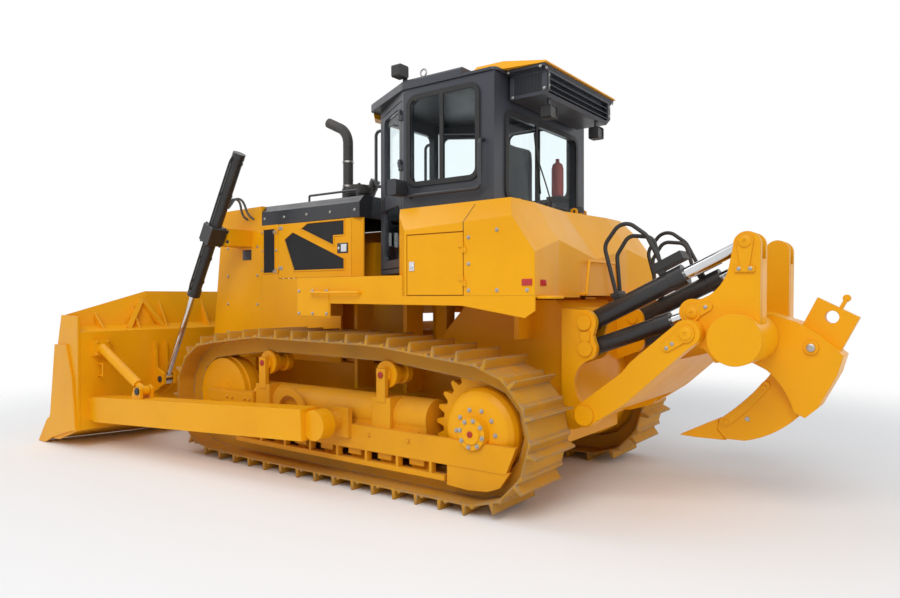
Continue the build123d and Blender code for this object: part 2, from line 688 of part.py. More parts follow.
cab_hinge_radius = 12.0
cab_hinge_out = cab_hinge_radius + 6     # hinge axis outside the facet
cab_hinge_at = door_start - 4            # and behind the door's edge
cab_hinge_x = cab_side_front_x + facet_dir[0] * cab_hinge_at - facet_dir[1] * cab_hinge_out
cab_hinge_y = cab_half_width + facet_dir[1] * cab_hinge_at + facet_dir[0] * cab_hinge_out
cab_hinge_heights = (door_floor_z + 220, door_floor_z + 860, door_head_z - 130)
print("cab hinge", round(cab_hinge_x, 2), round(cab_hinge_y, 2))


def hinge_leaf(plane, from_x, to_x, z0, z1):
    """Block that joins a hinge knuckle to the face of a facet."""
    with BuildSketch(plane) as leaf:
        with Locations(((from_x + to_x) / 2, (z0 + z1) / 2)):
            Rectangle(abs(to_x - from_x), z1 - z0)
    extrude(leaf.sketch, amount=cab_hinge_out)


def opening(plane, x0, x1, y0, y1, corner, depth):
    """Rounded window cut into the active part, depth along the plane's normal inward."""
    with BuildSketch(plane) as pane:
        with Locations(((x0 + x1) / 2, (y0 + y1) / 2)):
            RectangleRounded(abs(x1 - x0), y1 - y0, corner)
    extrude(pane.sketch, amount=-depth, mode=Mode.SUBTRACT)


left_wall = Plane(origin=(0, cab_half_width, 0), x_dir=(-1, 0, 0), z_dir=(0, 1, 0))
rear_wall = Plane(origin=(cab_rear_x, 0, 0), x_dir=(0, -1, 0), z_dir=(-1, 0, 0))
front_wall = Plane(origin=(cab_nose_x, 0, 0), x_dir=(0, 1, 0), z_dir=(1, 0, 0))
with BuildPart() as cab_frame:
    with BuildSketch(Plane.XY.offset(cab_floor_z)) as cab_floor_plan:
        with BuildLine():
            Polyline(*cab_plan, close=True)
        make_face()
    extrude(amount=cab_top_z - cab_floor_z)
    with BuildSketch(Plane.XY.offset(cab_floor_z + 30)):
        with BuildLine():
            Polyline(*cab_plan, close=True)
        make_face()
        offset(amount=-cab_wall, mode=Mode.REPLACE)
    extrude(amount=cab_top_z - cab_floor_z, mode=Mode.SUBTRACT)
    opening(left_wall, -side_window[1], -side_window[0], side_window[2], side_window[3], 70, 2 * cab_half_width)
    opening(rear_wall, rear_window[0], rear_window[1], rear_window[2], rear_window[3], 60, 200)
    opening(front_wall, front_window[0], front_window[1], front_window[2], front_window[3], 50, 200)
    for plane, middle in ((facet, -(door_start + door_end) / 2), (right_facet, (door_start + door_end) / 2)):
        with BuildSketch(plane):
            with Locations((middle, (door_floor_z + door_head_z) / 2)):
                Rectangle(door_end - door_start, door_head_z - door_floor_z)
        extrude(amount=-cab_wall * 2, mode=Mode.SUBTRACT)
    for side, plane in ((1, facet), (-1, right_facet)):
        for z in cab_hinge_heights:
            rod_up(cab_hinge_x, side * cab_hinge_y, cab_hinge_radius, z - 45, z - seat_gap)
            hinge_leaf(plane, -side * cab_hinge_at, -side * (cab_hinge_at - 38), z - 45, z - seat_gap)
pieces["cab_frame"] = cab_frame

door_gap = 8.0
door_thickness = 40.0
with BuildPart() as cab_door_left:
    with BuildSketch(facet):
        with Locations((-(door_start + door_end) / 2, (door_floor_z + door_head_z) / 2)):
            Rectangle(door_end - door_start - 2 * door_gap, door_head_z - door_floor_z - 2 * door_gap)
        with Locations((-(door_start + door_end) / 2, 2780)):
            RectangleRounded(door_end - door_start - 130, 700, 50, mode=Mode.SUBTRACT)
        with Locations((-(door_start + door_end) / 2, 2080)):
            RectangleRounded(door_end - door_start - 130, 460, 50, mode=Mode.SUBTRACT)
    extrude(amount=-door_thickness)
    for z in cab_hinge_heights:
        rod_up(cab_hinge_x, cab_hinge_y, cab_hinge_radius, z, z + 45)
        hinge_leaf(facet, -cab_hinge_at, -cab_hinge_at - 45, z, z + 45)
pieces["cab_door_left"] = cab_door_left
pieces["cab_door_right"] = mirrored(cab_door_left.part)

with BuildPart() as door_glass_left:
    for z, height in ((2780, 700), (2080, 460)):
        with BuildSketch(facet.offset(-20)):
            with Locations((-(door_start + door_end) / 2, z)):
                RectangleRounded(door_end - door_start - 131, height - 1, 49.5)
        extrude(amount=-glass_thickness)
pieces["door_glass_left"] = door_glass_left
pieces["door_glass_right"] = mirrored(door_glass_left.part)

with BuildPart() as cab_glass:
    for side in (1, -1):
        with BuildSketch(side_plane(side * (cab_half_width - 20))):
            with Locations(((side_window[0] + side_window[1]) / 2, (side_window[2] + side_window[3]) / 2)):
                RectangleRounded(side_window[1] - side_window[0] - 1, side_window[3] - side_window[2] - 1, 69.5)
        extrude(amount=side * glass_thickness)
    with BuildSketch(rear_wall.offset(-20)):
        with Locations((0, (rear_window[2] + rear_window[3]) / 2)):
            RectangleRounded(rear_window[1] - rear_window[0] - 1, rear_window[3] - rear_window[2] - 1, 59.5)
    extrude(amount=-glass_thickness)
    with BuildSketch(front_wall.offset(-20)):
        with Locations((0, (front_window[2] + front_window[3]) / 2)):
            RectangleRounded(front_window[1] - front_window[0] - 1, front_window[3] - front_window[2] - 1, 49.5)
    extrude(amount=-glass_thickness)
pieces["cab_glass"] = cab_glass

roof_thickness = 80.0
roof_over = 15.0            # overhang past the cab's sides
roof_front_x, roof_front_half = 250.0, 440.0
cap_front_x = -1040.0       # the yellow cap covers the roof from here back
ac_rear_x, ac_half_width, ac_low_z = -1687.0, 585.0, 3054.0
cap_rear_x = ac_rear_x - 28
roof_plan = (
    (cab_rear_x - 20, cab_half_width + roof_over), (cab_side_front_x, cab_half_width + roof_over),
    (roof_front_x, roof_front_half), (roof_front_x, -roof_front_half),
    (cab_side_front_x, -cab_half_width - roof_over), (cab_rear_x - 20, -cab_half_width - roof_over),
)
roof_base = cab_top_z + 0.5
with BuildPart() as cab_roof:
    with BuildSketch(Plane.XY.offset(roof_base)):
        with BuildLine():
            Polyline(*roof_plan, close=True)
        make_face()
        fillet(vertices(), radius=50)
    extrude(amount=roof_thickness)
    chamfer(faces().sort_by(Axis.Z)[-1].edges(), length=18)
    # step that the yellow cap lies in
    bar(cab_rear_x - 100, cap_front_x, -900, 900, roof_base + 22, roof_base + 200, mode=Mode.SUBTRACT)
    # brackets of the two front work lamps
    for side in (1, -1):
        bar(-420, -380, *both(side, 700, 716), roof_base + 60, 3410)
pieces["cab_roof"] = cab_roof

cap_bottom = roof_base + 22 + seat_gap
with BuildPart() as roof_caps:
    # cap over the air conditioner, bevelled all round and falling to a thin rear edge
    with BuildSketch(Plane.XY.offset(cap_bottom)) as cap:
        with BuildLine():
            Polyline((cap_front_x - seat_gap, 700), (cab_rear_x, 694), (cap_rear_x, 640), (cap_rear_x, -640),
                     (cab_rear_x, -694), (cap_front_x - seat_gap, -700), close=True)
        make_face()
    extrude(cap.sketch, amount=78, taper=34)
    split(bisect_by=Plane(origin=(cap_rear_x, 0, cap_bottom + 16), z_dir=(-62, 0, 382)), keep=Keep.BOTTOM)
    # pointed visor at the front
    with BuildSketch(Plane.XY.offset(roof_base + 14)) as visor:
        with BuildLine():
            Polyline((roof_front_x + seat_gap, -400), (roof_front_x + seat_gap, 400), (roof_front_x + 130, 250),
                     (roof_front_x + 130, -250), close=True)
        make_face()
    extrude(visor.sketch, amount=52, taper=14)
pieces["roof_caps"] = roof_caps

louvre_z = (3092.0, 3136.0, 3180.0)
with BuildPart() as ac_box:
    plate(((cab_rear_x - 20.5, roof_base - seat_gap), (ac_rear_x, roof_base - seat_gap),
           (ac_rear_x, ac_low_z + 40), (ac_rear_x + 40, ac_low_z), (cab_rear_x - 20.5, ac_low_z)),
          -ac_half_width, ac_half_width)
    # recess behind the louvres, then the slats across it
    bar(ac_rear_x - 5, ac_rear_x + 45, -ac_half_width + 50, ac_half_width - 50, 3078, 3226, mode=Mode.SUBTRACT)
    for z in louvre_z:
        plate(((ac_rear_x + 46, z + 26), (ac_rear_x + 46, z + 20), (ac_rear_x + 4, z - 4), (ac_rear_x + 4, z + 2)),
              -ac_half_width + 49, ac_half_width - 49)
    # shallow frames of the two side meshes, and the plate that lies over the cab's rear wall
    for side in (1, -1):
        bar(-1640, -1400, *both(side, ac_half_width - 6, ac_half_width + 5), 3082, 3222, mode=Mode.SUBTRACT)
        # brackets of the rear work lamps
        bar(-1630, -1614, side * 430 - 20, side * 430 + 20, ac_low_z - 50, ac_low_z + 2)
    bar(ac_rear_x - 6, cab_rear_x - 20.5, -640, 640, roof_base - seat_gap, cap_bottom - seat_gap)
pieces["ac_box"] = ac_box

lamp_size = (90.0, 120.0, 100.0)
lamps = (                   # x, y, z of the lamp's centre and where it looks along X
    (-400, 716 + 0.3 + lamp_size[1] / 2, 3415, 1), (-400, -716 - 0.3 - lamp_size[1] / 2, 3415, 1),
    (-1622, 430, ac_low_z - 50 - 0.3 - lamp_size[2] / 2, -1),
    (-1622, -430, ac_low_z - 50 - 0.3 - lamp_size[2] / 2, -1),
)
with BuildPart() as work_lamps:
    for x, y, z, look in lamps:
        with BuildSketch(Plane(origin=(x - look * lamp_size[0] / 2, y, z), x_dir=(0, 1, 0),
                               z_dir=(look, 0, 0))) as body:
            RectangleRounded(lamp_size[1], lamp_size[2], 16)
        extrude(body.sketch, amount=lamp_size[0])
        with BuildSketch(Plane(origin=(x + look * lamp_size[0] / 2, y, z), x_dir=(0, 1, 0),
                               z_dir=(look, 0, 0))) as front:
            RectangleRounded(lamp_size[1] - 16, lamp_size[2] - 16, 10)
        extrude(front.sketch, amount=-12, mode=Mode.SUBTRACT)
pieces["work_lamps"] = work_lamps
with BuildPart() as lamp_glass:
    for x, y, z, look in lamps:
        with BuildSketch(Plane(origin=(x + look * (lamp_size[0] / 2 - 12 + seat_gap), y, z), x_dir=(0, 1, 0),
                               z_dir=(look, 0, 0))) as lens:
            RectangleRounded(lamp_size[1] - 17, lamp_size[2] - 17, 9.5)
        extrude(lens.sketch, amount=6)
pieces["lamp_glass"] = lamp_glass

frame_width, frame_depth = 30.0, 14.0      # rubber frames round the fixed windows
with BuildPart() as window_frames:
    for plane, spot in ((left_wall, 1), (Plane(origin=(0, -cab_half_width, 0), x_dir=(1, 0, 0), z_dir=(0, -1, 0)), -1)):
        with BuildSketch(plane.offset(seat_gap)) as ring:
            with Locations((-spot * (side_window[0] + side_window[1]) / 2, (side_window[2] + side_window[3]) / 2)):
                width, height = side_window[1] - side_window[0], side_window[3] - side_window[2]
                RectangleRounded(width + 2 * frame_width, height + 2 * frame_width, 70 + frame_width)
                RectangleRounded(width - 24, height - 24, 58, mode=Mode.SUBTRACT)
            with Locations((-spot * (side_window[0] + side_window[1]) / 2, (side_window[2] + side_window[3]) / 2)):
                Rectangle(34, height)
        extrude(ring.sketch, amount=frame_depth)
    with BuildSketch(rear_wall.offset(seat_gap)) as ring:
        with Locations((0, (rear_window[2] + rear_window[3]) / 2)):
            width, height = rear_window[1] - rear_window[0], rear_window[3] - rear_window[2]
            RectangleRounded(width + 2 * frame_width, height + 2 * frame_width, 60 + frame_width)
            RectangleRounded(width - 24, height - 24, 48, mode=Mode.SUBTRACT)
        with Locations((-140, (rear_window[2] + rear_window[3]) / 2)):
            Rectangle(30, height)
    extrude(ring.sketch, amount=frame_depth)
pieces["window_frames"] = window_frames


rail_radius, rail_off = 15.0, 60.0
with BuildPart() as grab_rails:
    for side in (1, -1):
        wall = side * (cab_half_width + seat_gap)
        out = side * (cab_half_width + rail_off)
        pipe(((-1245, wall, 2730), (-1245, out, 2730), (-1245, out, 2352), (-530, out, 2352),
              (-530, wall, 2352)), rail_radius, 36)
        nose = side * (cab_nose_half_width - 26)
        pipe(((cab_nose_x + seat_gap, nose, 3080), (cab_nose_x + 84, nose, 3080), (cab_nose_x + 84, nose, 2560),
              (cab_nose_x + seat_gap, nose, 2560)), rail_radius, 45)
        # mirror head on its stub, behind the door's hinges
        bar(-472, -446, *both(side, cab_half_width + seat_gap, cab_half_width + 40), 2400, 2440)
        with BuildSketch(side_plane(side * (cab_half_width + 38))) as mirror_head:
            with Locations((-462, 2420)):
                RectangleRounded(96, 130, 18)
        extrude(mirror_head.sketch, amount=-side * 140)
pieces["grab_rails"] = grab_rails

with BuildPart() as seat:
    bar(-1080, -560, -260, 260, 2100 + seat_gap, 2230)
    bar(-1120, -990, -250, 250, 2230 + seat_gap, 2850)
pieces["seat"] = seat
with BuildPart() as cab_interior:
    # seat pedestal and instrument console
    bar(-1020, -620, -220, 220, cab_floor_z + 30.5, 2100)
    bar(-200, 60, -300, 300, cab_floor_z + 30.5, 2180)
pieces["cab_interior"] = cab_interior

# ------------------------------------------------------------------ exhaust, precleaner, rails
exhaust_x, exhaust_y, exhaust_radius = 730.0, 250.0, 50.0
with BuildPart() as exhaust:
    rod_up(exhaust_x, exhaust_y, exhaust_radius + 24, hood_top_z + seat_gap, hood_top_z + 18)
    rod_up(exhaust_x, exhaust_y, exhaust_radius + 10, hood_top_z + 16, hood_top_z + 140)
    pipe(((exhaust_x, exhaust_y, hood_top_z + 130), (exhaust_x, exhaust_y, 3170),
          (exhaust_x + 270, exhaust_y, 3300)), exhaust_radius, 190)
    mouth = Vector(270, 0, 130).normalized()
    tube_along(Vector(exhaust_x + 270, exhaust_y, 3300) - mouth * 90, mouth, 90, exhaust_radius - 1,
               exhaust_radius - 4, 4)
pieces["exhaust"] = exhaust
cleaner_x, cleaner_y = 530.0, 300.0
with BuildPart() as precleaner:
    rod_up(cleaner_x, cleaner_y, 62, hood_top_z + seat_gap, hood_top_z + 42)
    rod_up(cleaner_x, cleaner_y, 118, hood_top_z + 40, hood_top_z + 58)
    rod_up(cleaner_x, cleaner_y, 130, hood_top_z + 56, hood_top_z + 118)
    rod_up(cleaner_x, cleaner_y, 96, hood_top_z + 116, hood_top_z + 146)
    rod_up(cleaner_x, cleaner_y, 18, hood_top_z + 144, hood_top_z + 158)
pieces["precleaner"] = precleaner

# ------------------------------------------------------------------ blade
wing_y = 1000.0             # where the angled wings start
end_plate = 22.0
blade_top_z, wing_top_z = 1590.0, 1343.0
sheet = 28.0                # thickness of the mouldboard above its box
centre_section = {"tip": (3480, 12), "middle": (3095, 760), "top": (3185, blade_top_z)}
wing_section = {"tip": (3700, 12), "middle": (3335, 650), "top": (3223, wing_top_z)}


def arc_centre(a, b, c):
    """Centre of the circle through three (x, z) points."""
    d = 2 * (a[0] * (b[1] - c[1]) + b[0] * (c[1] - a[1]) + c[0] * (a[1] - b[1]))
    aa, bb, cc = (p[0] * p[0] + p[1] * p[1] for p in (a, b, c))
    return ((aa * (b[1] - c[1]) + bb * (c[1] - a[1]) + cc * (a[1] - b[1])) / d,
            (aa * (c[0] - b[0]) + bb * (a[0] - c[0]) + cc * (b[0] - a[0])) / d)


def blade_section(y, section):
    """Closed side profile of the mouldboard at y: curved face, sheet top, box back."""
    tip, middle, top = section["tip"], section["middle"], section["top"]
    x0, z0 = arc_centre(tip, middle, top)
    back_radius = hypot(tip[0] - x0, tip[1] - z0) + sheet

    def back_at(z):
        return x0 - sqrt(back_radius * back_radius - (z - z0) * (z - z0)), z

    with BuildSketch(side_plane(y)) as profile:
        with BuildLine():
            ThreePointArc(tip, middle, top)
            Line(top, back_at(top[1] + 3))
            ThreePointArc(back_at(top[1] + 3), back_at(top[1] - 100), back_at(blade_box_z + 60))
            Polyline(back_at(blade_box_z + 60), (blade_back_x, blade_box_z), (blade_back_x, 192),
                     (tip[0] - 240, 60), (tip[0] - 60, tip[1]), tip)
        make_face()
    return profile.sketch


blade_ribs = (              # y, and x, z of the rib's top on the sheet's back
    (320.0, 3144.0, 1540.0), (860.0, 3144.0, 1540.0), (1180.0, 3142.0, 1470.0), (1560.0, 3160.0, 1360.0),
)
with BuildPart() as mouldboard:
    extrude(blade_section(wing_y, centre_section), amount=2 * wing_y)
    for side in (1, -1):
        loft([blade_section(side * wing_y, centre_section).face(),
              blade_section(side * (blade_half_width - end_plate), wing_section).face()], ruled=True)
        # end plate
        plate(((3240, wing_top_z), (3395, 760), (3500, 300), (3640, 60), (3300, 60),
               (blade_back_x - 3, 192), (blade_back_x - 3, wing_top_z - 12)),
              *sorted((side * (blade_half_width - end_plate - 1), side * blade_half_width)))
        # gussets between the box and the sheet above it
        for y, top_x, top_z in blade_ribs:
            plate(((blade_back_x + 30, blade_box_z - 5), (blade_back_x + 170, blade_box_z - 5),
                   (top_x + 14, top_z), (top_x, top_z)), *both(side, y - 10, y + 10))
        # clevis plates for the lift cylinder's rod
        for offset_y in (-75, 45):
            low = side * lift_y + offset_y
            plate(((blade_back_x + 5, 1040), (blade_back_x - 30, 1030), (blade_back_x - 45, 760),
                   (lift_eye_x - 70, 700), (lift_eye_x - 70, 590), (lift_eye_x, 560),
                   (blade_back_x + 5, 480)), low, low + 30)
        # ears at the front of the push arm and the socket of the strut
        bar(blade_back_x - 90, blade_back_x + 5, *sorted((side * 1580, side * 1750)), 285, 515)
        bar(blade_back_x - 60, blade_back_x + 5, *sorted((side * 1560, side * 1720)), 930, 1090)
pieces["mouldboard"] = mouldboard

with BuildPart() as cutting_edges:
    for side in (1, -1):
        plate(((3712, 5), (3560, 5), (3400, 75), (2970, 190), (2905, 193), (2975, 713), (3098, 1046),
               (3342, 1040), (3450, 290), (3527, 243)),
              *sorted((side * (blade_half_width + 0.5), side * (blade_half_width + 22))))
pieces["cutting_edges"] = cutting_edges

# push arms: straight boxes from the trunnions, toeing out to the blade's ends
arm_rear = Vector(trunnion_x + 85, 1452, trunnion_z)
arm_front = Vector(blade_back_x - 90.5, 1660, 400)
arm_axis = (arm_front - arm_rear).normalized()
arm_across = Vector(-arm_axis.Y, arm_axis.X, 0).normalized()
with BuildPart() as push_arm_left:
    with BuildSketch(Plane(origin=arm_rear, x_dir=arm_across, z_dir=arm_axis)):
        Rectangle(arm_width, arm_height)
    extrude(amount=(arm_front - arm_rear).length)
    split(bisect_by=Plane(origin=(blade_back_x - 90.5, 0, 0), z_dir=(1, 0, 0)), keep=Keep.BOTTOM)
    # trunnion eye
    bar(trunnion_x - 20, trunnion_x + 100, 1372, 1500, trunnion_z - 95, trunnion_z + 95)
    rod(trunnion_x, trunnion_z, 120, 1372, 1500)
    rod(trunnion_x, trunnion_z, trunnion_radius + 0.3, 1300, 1445, mode=Mode.SUBTRACT)
    # clevis for the strut
    for y0 in (1530, 1640):
        plate(((2080, 520), (2260, 520), (2200, 650), (2120, 680), (2080, 650)), y0, y0 + 30)
pieces["push_arm_left"] = push_arm_left
pieces["push_arm_right"] = mirrored(push_arm_left.part)

strut_low = (2130.0, 1600.0, 625.0)
strut_high = (blade_back_x - 60.5, 1640.0, 1005.0)
strut_radius, strut_eye = 48.0, 44.0
with BuildPart() as struts:
    for side in (1, -1):
        low = Vector(strut_low[0], side * strut_low[1], strut_low[2])
        high = Vector(strut_high[0], side * strut_high[1], strut_high[2])
        axis = (high - low).normalized()
        tube_along(low + axis * 110, axis, (high - low).length, strut_radius)
        tube_along(low, axis, 130, 30)
        rod(low.X, low.Z, strut_eye, low.Y - 35, low.Y + 35)
    with BuildSketch(Plane(origin=(strut_high[0], 0, 800), x_dir=(0, 1, 0), z_dir=(1, 0, 0))) as trim:
        Rectangle(4000, 1200)
    extrude(trim.sketch, amount=600, mode=Mode.SUBTRACT)
pieces["struts"] = struts

# ------------------------------------------------------------------ blade lift cylinders
lift_axis = Vector(lift_eye_x - yoke_x, 0, lift_eye_z - yoke_z).normalized()
lift_length = hypot(lift_eye_x - yoke_x, lift_eye_z - yoke_z)
lift_barrel_below, lift_barrel_above = 700.0, 880.0
lift_rod_length = 1500.0


with BuildPart() as lift_barrels:
    for side in (1, -1):
        yoke = Vector(yoke_x, side * lift_y, yoke_z)
        # collar with the trunnion pins, gland and end cap
        for at, length, extra in ((-80, 160, 20), (lift_barrel_below - 70, 76, 9), (-lift_barrel_above - 4, 60, 5)):
            tube_along(yoke + lift_axis * at, lift_axis, length, lift_barrel_radius + extra)
        tube_along(yoke - lift_axis * lift_barrel_above, lift_axis,
                   lift_barrel_above + lift_barrel_below, lift_barrel_radius,
                   lift_rod_radius + 1, 40)
        inner, outer = sorted((side * (lift_y - 55), side * (lift_y - 110 + seat_gap)))
        rod(yoke_x, yoke_z, 32, inner, outer)
pieces["lift_barrels"] = lift_barrels
with BuildPart() as lift_rods:
    for side in (1, -1):
        eye = Vector(lift_eye_x, side * lift_y, lift_eye_z)
        tube_along(eye - lift_axis * lift_rod_length, lift_axis, lift_rod_length - 30, lift_rod_radius)
        rod(lift_eye_x, lift_eye_z, 62, *sorted((side * (lift_y - 36), side * (lift_y + 36))))
pieces["lift_rods"] = lift_rods

# ------------------------------------------------------------------ ripper
ear_inner_y = cylinder_y - 100           # inner ears of the bracket
ear_thickness = 28.0
tilt_pin_radius, lift_pin_radius, arm_pin_radius = 38.0, 35.0, 50.0
bracket_lugs = (            # pivot, radius of the lug round it
    (tilt_foot, 92.0), (lift_foot, 88.0), (arm_foot, 84.0),
)


def hole(x, z, radius, y0, y1):
    """Round hole along Y, cut in the active part."""
    rod(x, z, radius, y0, y1, mode=Mode.SUBTRACT)


def teardrop(a, b, radius_a, radius_b, y0, y1):
    """Flat link from pivot a to pivot b with round ends, in the active part."""
    far = hypot(b[0] - a[0], b[1] - a[1])
    lean = (radius_a - radius_b) / far
    ux, uz = (b[0] - a[0]) / far, (b[1] - a[1]) / far
    flat = sqrt(1 - lean * lean)
    corners = []
    for sign in (1, -1):
        nx, nz = ux * lean - uz * flat * sign, uz * lean + ux * flat * sign
        corners.append(((a[0] + nx * radius_a, a[1] + nz * radius_a), (b[0] + nx * radius_b, b[1] + nz * radius_b)))
    plate((corners[0][0], corners[0][1], corners[1][1], corners[1][0]), y0, y1)
    rod(a[0], a[1], radius_a, y0, y1)
    rod(b[0], b[1], radius_b, y0, y1)


def along(a, b, distance, across=0.0):
    """Point at a distance from a towards b, and across to the left of that line."""
    far = hypot(b[0] - a[0], b[1] - a[1])
    ux, uz = (b[0] - a[0]) / far, (b[1] - a[1]) / far
    return a[0] + ux * distance - uz * across, a[1] + uz * distance + ux * across


def bracket_side(y0, y1):
    """Side plate of the bracket: three lugs, with a round bay between the lower two."""
    with BuildSketch(side_plane(y0)) as outline:
        with BuildLine():
            Polyline((hull_rear_x - seat_gap, 1440), (tilt_foot[0] + 10, tilt_foot[1] + 91),
                     (tilt_foot[0] - 90, tilt_foot[1] - 20), (lift_foot[0] - 60, lift_foot[1] + 95),
                     (lift_foot[0] - 88, lift_foot[1]), (lift_foot[0] - 10, lift_foot[1] - 88))
            ThreePointArc((lift_foot[0] - 10, lift_foot[1] - 88), (-1905, 885), (arm_foot[0] + 60, arm_foot[1] + 58))
            Polyline((arm_foot[0] + 60, arm_foot[1] + 58), (arm_foot[0] - 60, arm_foot[1] + 55),
                     (arm_foot[0] - 40, arm_foot[1] - 74), (-1900, 548), (hull_rear_x - seat_gap, 540),
                     (hull_rear_x - seat_gap, 1440))
        make_face()
    extrude(outline.sketch, amount=-(y1 - y0))
    for (x, z), radius in bracket_lugs:
        rod(x, z, radius, y0, y1)


with BuildPart() as ripper_bracket:
    bar(hull_rear_x - 45, hull_rear_x - seat_gap, -bracket_half_width, bracket_half_width, 540, 1440)
    for side in (1, -1):
        bracket_side(*both(side, bracket_half_width - bracket_plate, bracket_half_width))
        inner_y = both(side, ear_inner_y, ear_inner_y + ear_thickness)
        plate(((hull_rear_x - 20, 1440), (tilt_foot[0] + 10, tilt_foot[1] + 91),
               (tilt_foot[0] - 90, tilt_foot[1] - 20), (lift_foot[0] - 60, lift_foot[1] + 95),
               (lift_foot[0] - 86, lift_foot[1]), (lift_foot[0] - 10, lift_foot[1] - 86),
               (hull_rear_x - 20, 980)), *inner_y)
        for (x, z), radius in bracket_lugs[:2]:
            rod(x, z, radius, *inner_y)
        hole(*tilt_foot, tilt_pin_radius + running_gap, *both(side, ear_inner_y - 5, bracket_half_width + 5))
        rod(*lift_foot, lift_pin_radius, *both(side, ear_inner_y, bracket_half_width + 12))
        rod(*lift_foot, lift_pin_radius + 22, *both(side, bracket_half_width - 2, bracket_half_width + 16))
        arm_out = bracket_half_width + 2 * side_gap + ripper_arm_width
        rod(*arm_foot, arm_pin_radius, *both(side, bracket_half_width - 10, arm_out))
        rod(*arm_foot, arm_pin_radius + 22, *both(side, arm_out, arm_out + 14))
        # keeper between the two upper pins
        plate(((-1960, 1200), (-2030, 1200), (-2035, 1270), (-1955, 1270)),
              *both(side, bracket_half_width - 2, bracket_half_width + 12))
pieces["ripper_bracket"] = ripper_bracket

ripper_arm_in = bracket_half_width + side_gap
ripper_arm_out = ripper_arm_in + ripper_arm_width
head_pin_radius = 45.0
ripper_arm_length = hypot(arm_head[0] - arm_foot[0], arm_head[1] - arm_foot[1])
arm_side = (                # along the arm from the foot, across it (up positive): corners of one side
    (20, -84), (300, -112), (450, -106), (ripper_arm_length - 60, -86), (ripper_arm_length, -88),
    (ripper_arm_length, 88), (ripper_arm_length - 120, 88), (ripper_arm_length - 420, 84),
    (ripper_arm_length - 520, 66), (20, 84),
)
cross_box = ((210, -106), (300, -111), (450, -105), (ripper_arm_length - 170, -90),
             (ripper_arm_length - 170, 20), (ripper_arm_length - 520, 40), (210, 20))
with BuildPart() as ripper_arm:
    for side in (1, -1):
        wide = both(side, ripper_arm_in, ripper_arm_out)
        plate([along(arm_foot, arm_head, a, -b) for a, b in arm_side], *wide)
        rod(*arm_foot, 86, *wide)
        rod(*arm_head, 90, *wide)
        hole(*arm_foot, arm_pin_radius + running_gap, *both(side, ripper_arm_in - 5, ripper_arm_out + 5))
        hole(*arm_head, head_pin_radius + running_gap, *both(side, ripper_arm_in - 5, ripper_arm_out + 5))
    plate([along(arm_foot, arm_head, a, -b) for a, b in cross_box],
          seat_gap - ripper_arm_in, ripper_arm_in - seat_gap)
    # open belly of the cross box, between its bottom plate and the cylinders
    plate([along(arm_foot, arm_head, a, -b) for a, b in (
        (240, -80), (300, -86), (450, -80), (ripper_arm_length - 200, -65),
        (ripper_arm_length - 200, 60), (240, 60))], -ripper_arm_in + 40, ripper_arm_in - 40, mode=Mode.SUBTRACT)
pieces["ripper_arm"] = ripper_arm

tower_plate = 40.0
tower_in, tower_out = cylinder_y - 90, cylinder_y + 90
lug_out = bracket_half_width
shank_half = 38.0
shank_gap = 0.3
shank_hole = (-3506, 1388)
shank_hole_radius = 42.0


def shank_profile(y, grow=0.0):
    """Outline of the shank at y, or of the slot for it when it grows."""
    with BuildSketch(side_plane(y)) as outline:
        with BuildLine():
            Polyline((-3215, 1093), (-3420, 1517), (-3665, 1387), (-3425, 891))
            ThreePointArc((-3425, 891), (-3250, 655), (-2960, 504))
            Polyline((-2960, 504), (-2830, 502), (-2775, 565), (-2788, 640))
            ThreePointArc((-2788, 640), (-2985, 815), (-3140, 1000))
            Line((-3140, 1000), (-3215, 1093))
        make_face()
        if grow:
            offset(amount=grow, kind=Kind.INTERSECTION)
    return outline.sketch


def tower(y0, y1):
    """Side plate of the ripper beam: tower, ear for the lift rod and lug for the arm's pin."""
    with BuildSketch(side_plane(y0)) as outline:
        with BuildLine():
            Line((-3172, 1300), (-3178, 1850))
            ThreePointArc((-3178, 1850), (-3093, 1941), (-3010, 1850))
            Line((-3010, 1850), (-2988, 1735))
            ThreePointArc((-2988, 1735), (-2940, 1612), (-2860, 1532))
            Line((-2860, 1532), (-2790, 1500))
            ThreePointArc((-2790, 1500), (-2664, 1430), (-2700, 1350))
            Line((-2700, 1350), (-2668, 1310))
            ThreePointArc((-2668, 1310), (-2700, 1212), (-2795, 1190))
            Polyline((-2795, 1190), (-2834, 1172), (-2898, 1090), (-3036, 1110), (-3172, 1300))
        make_face()
    extrude(outline.sketch, amount=-(y1 - y0))


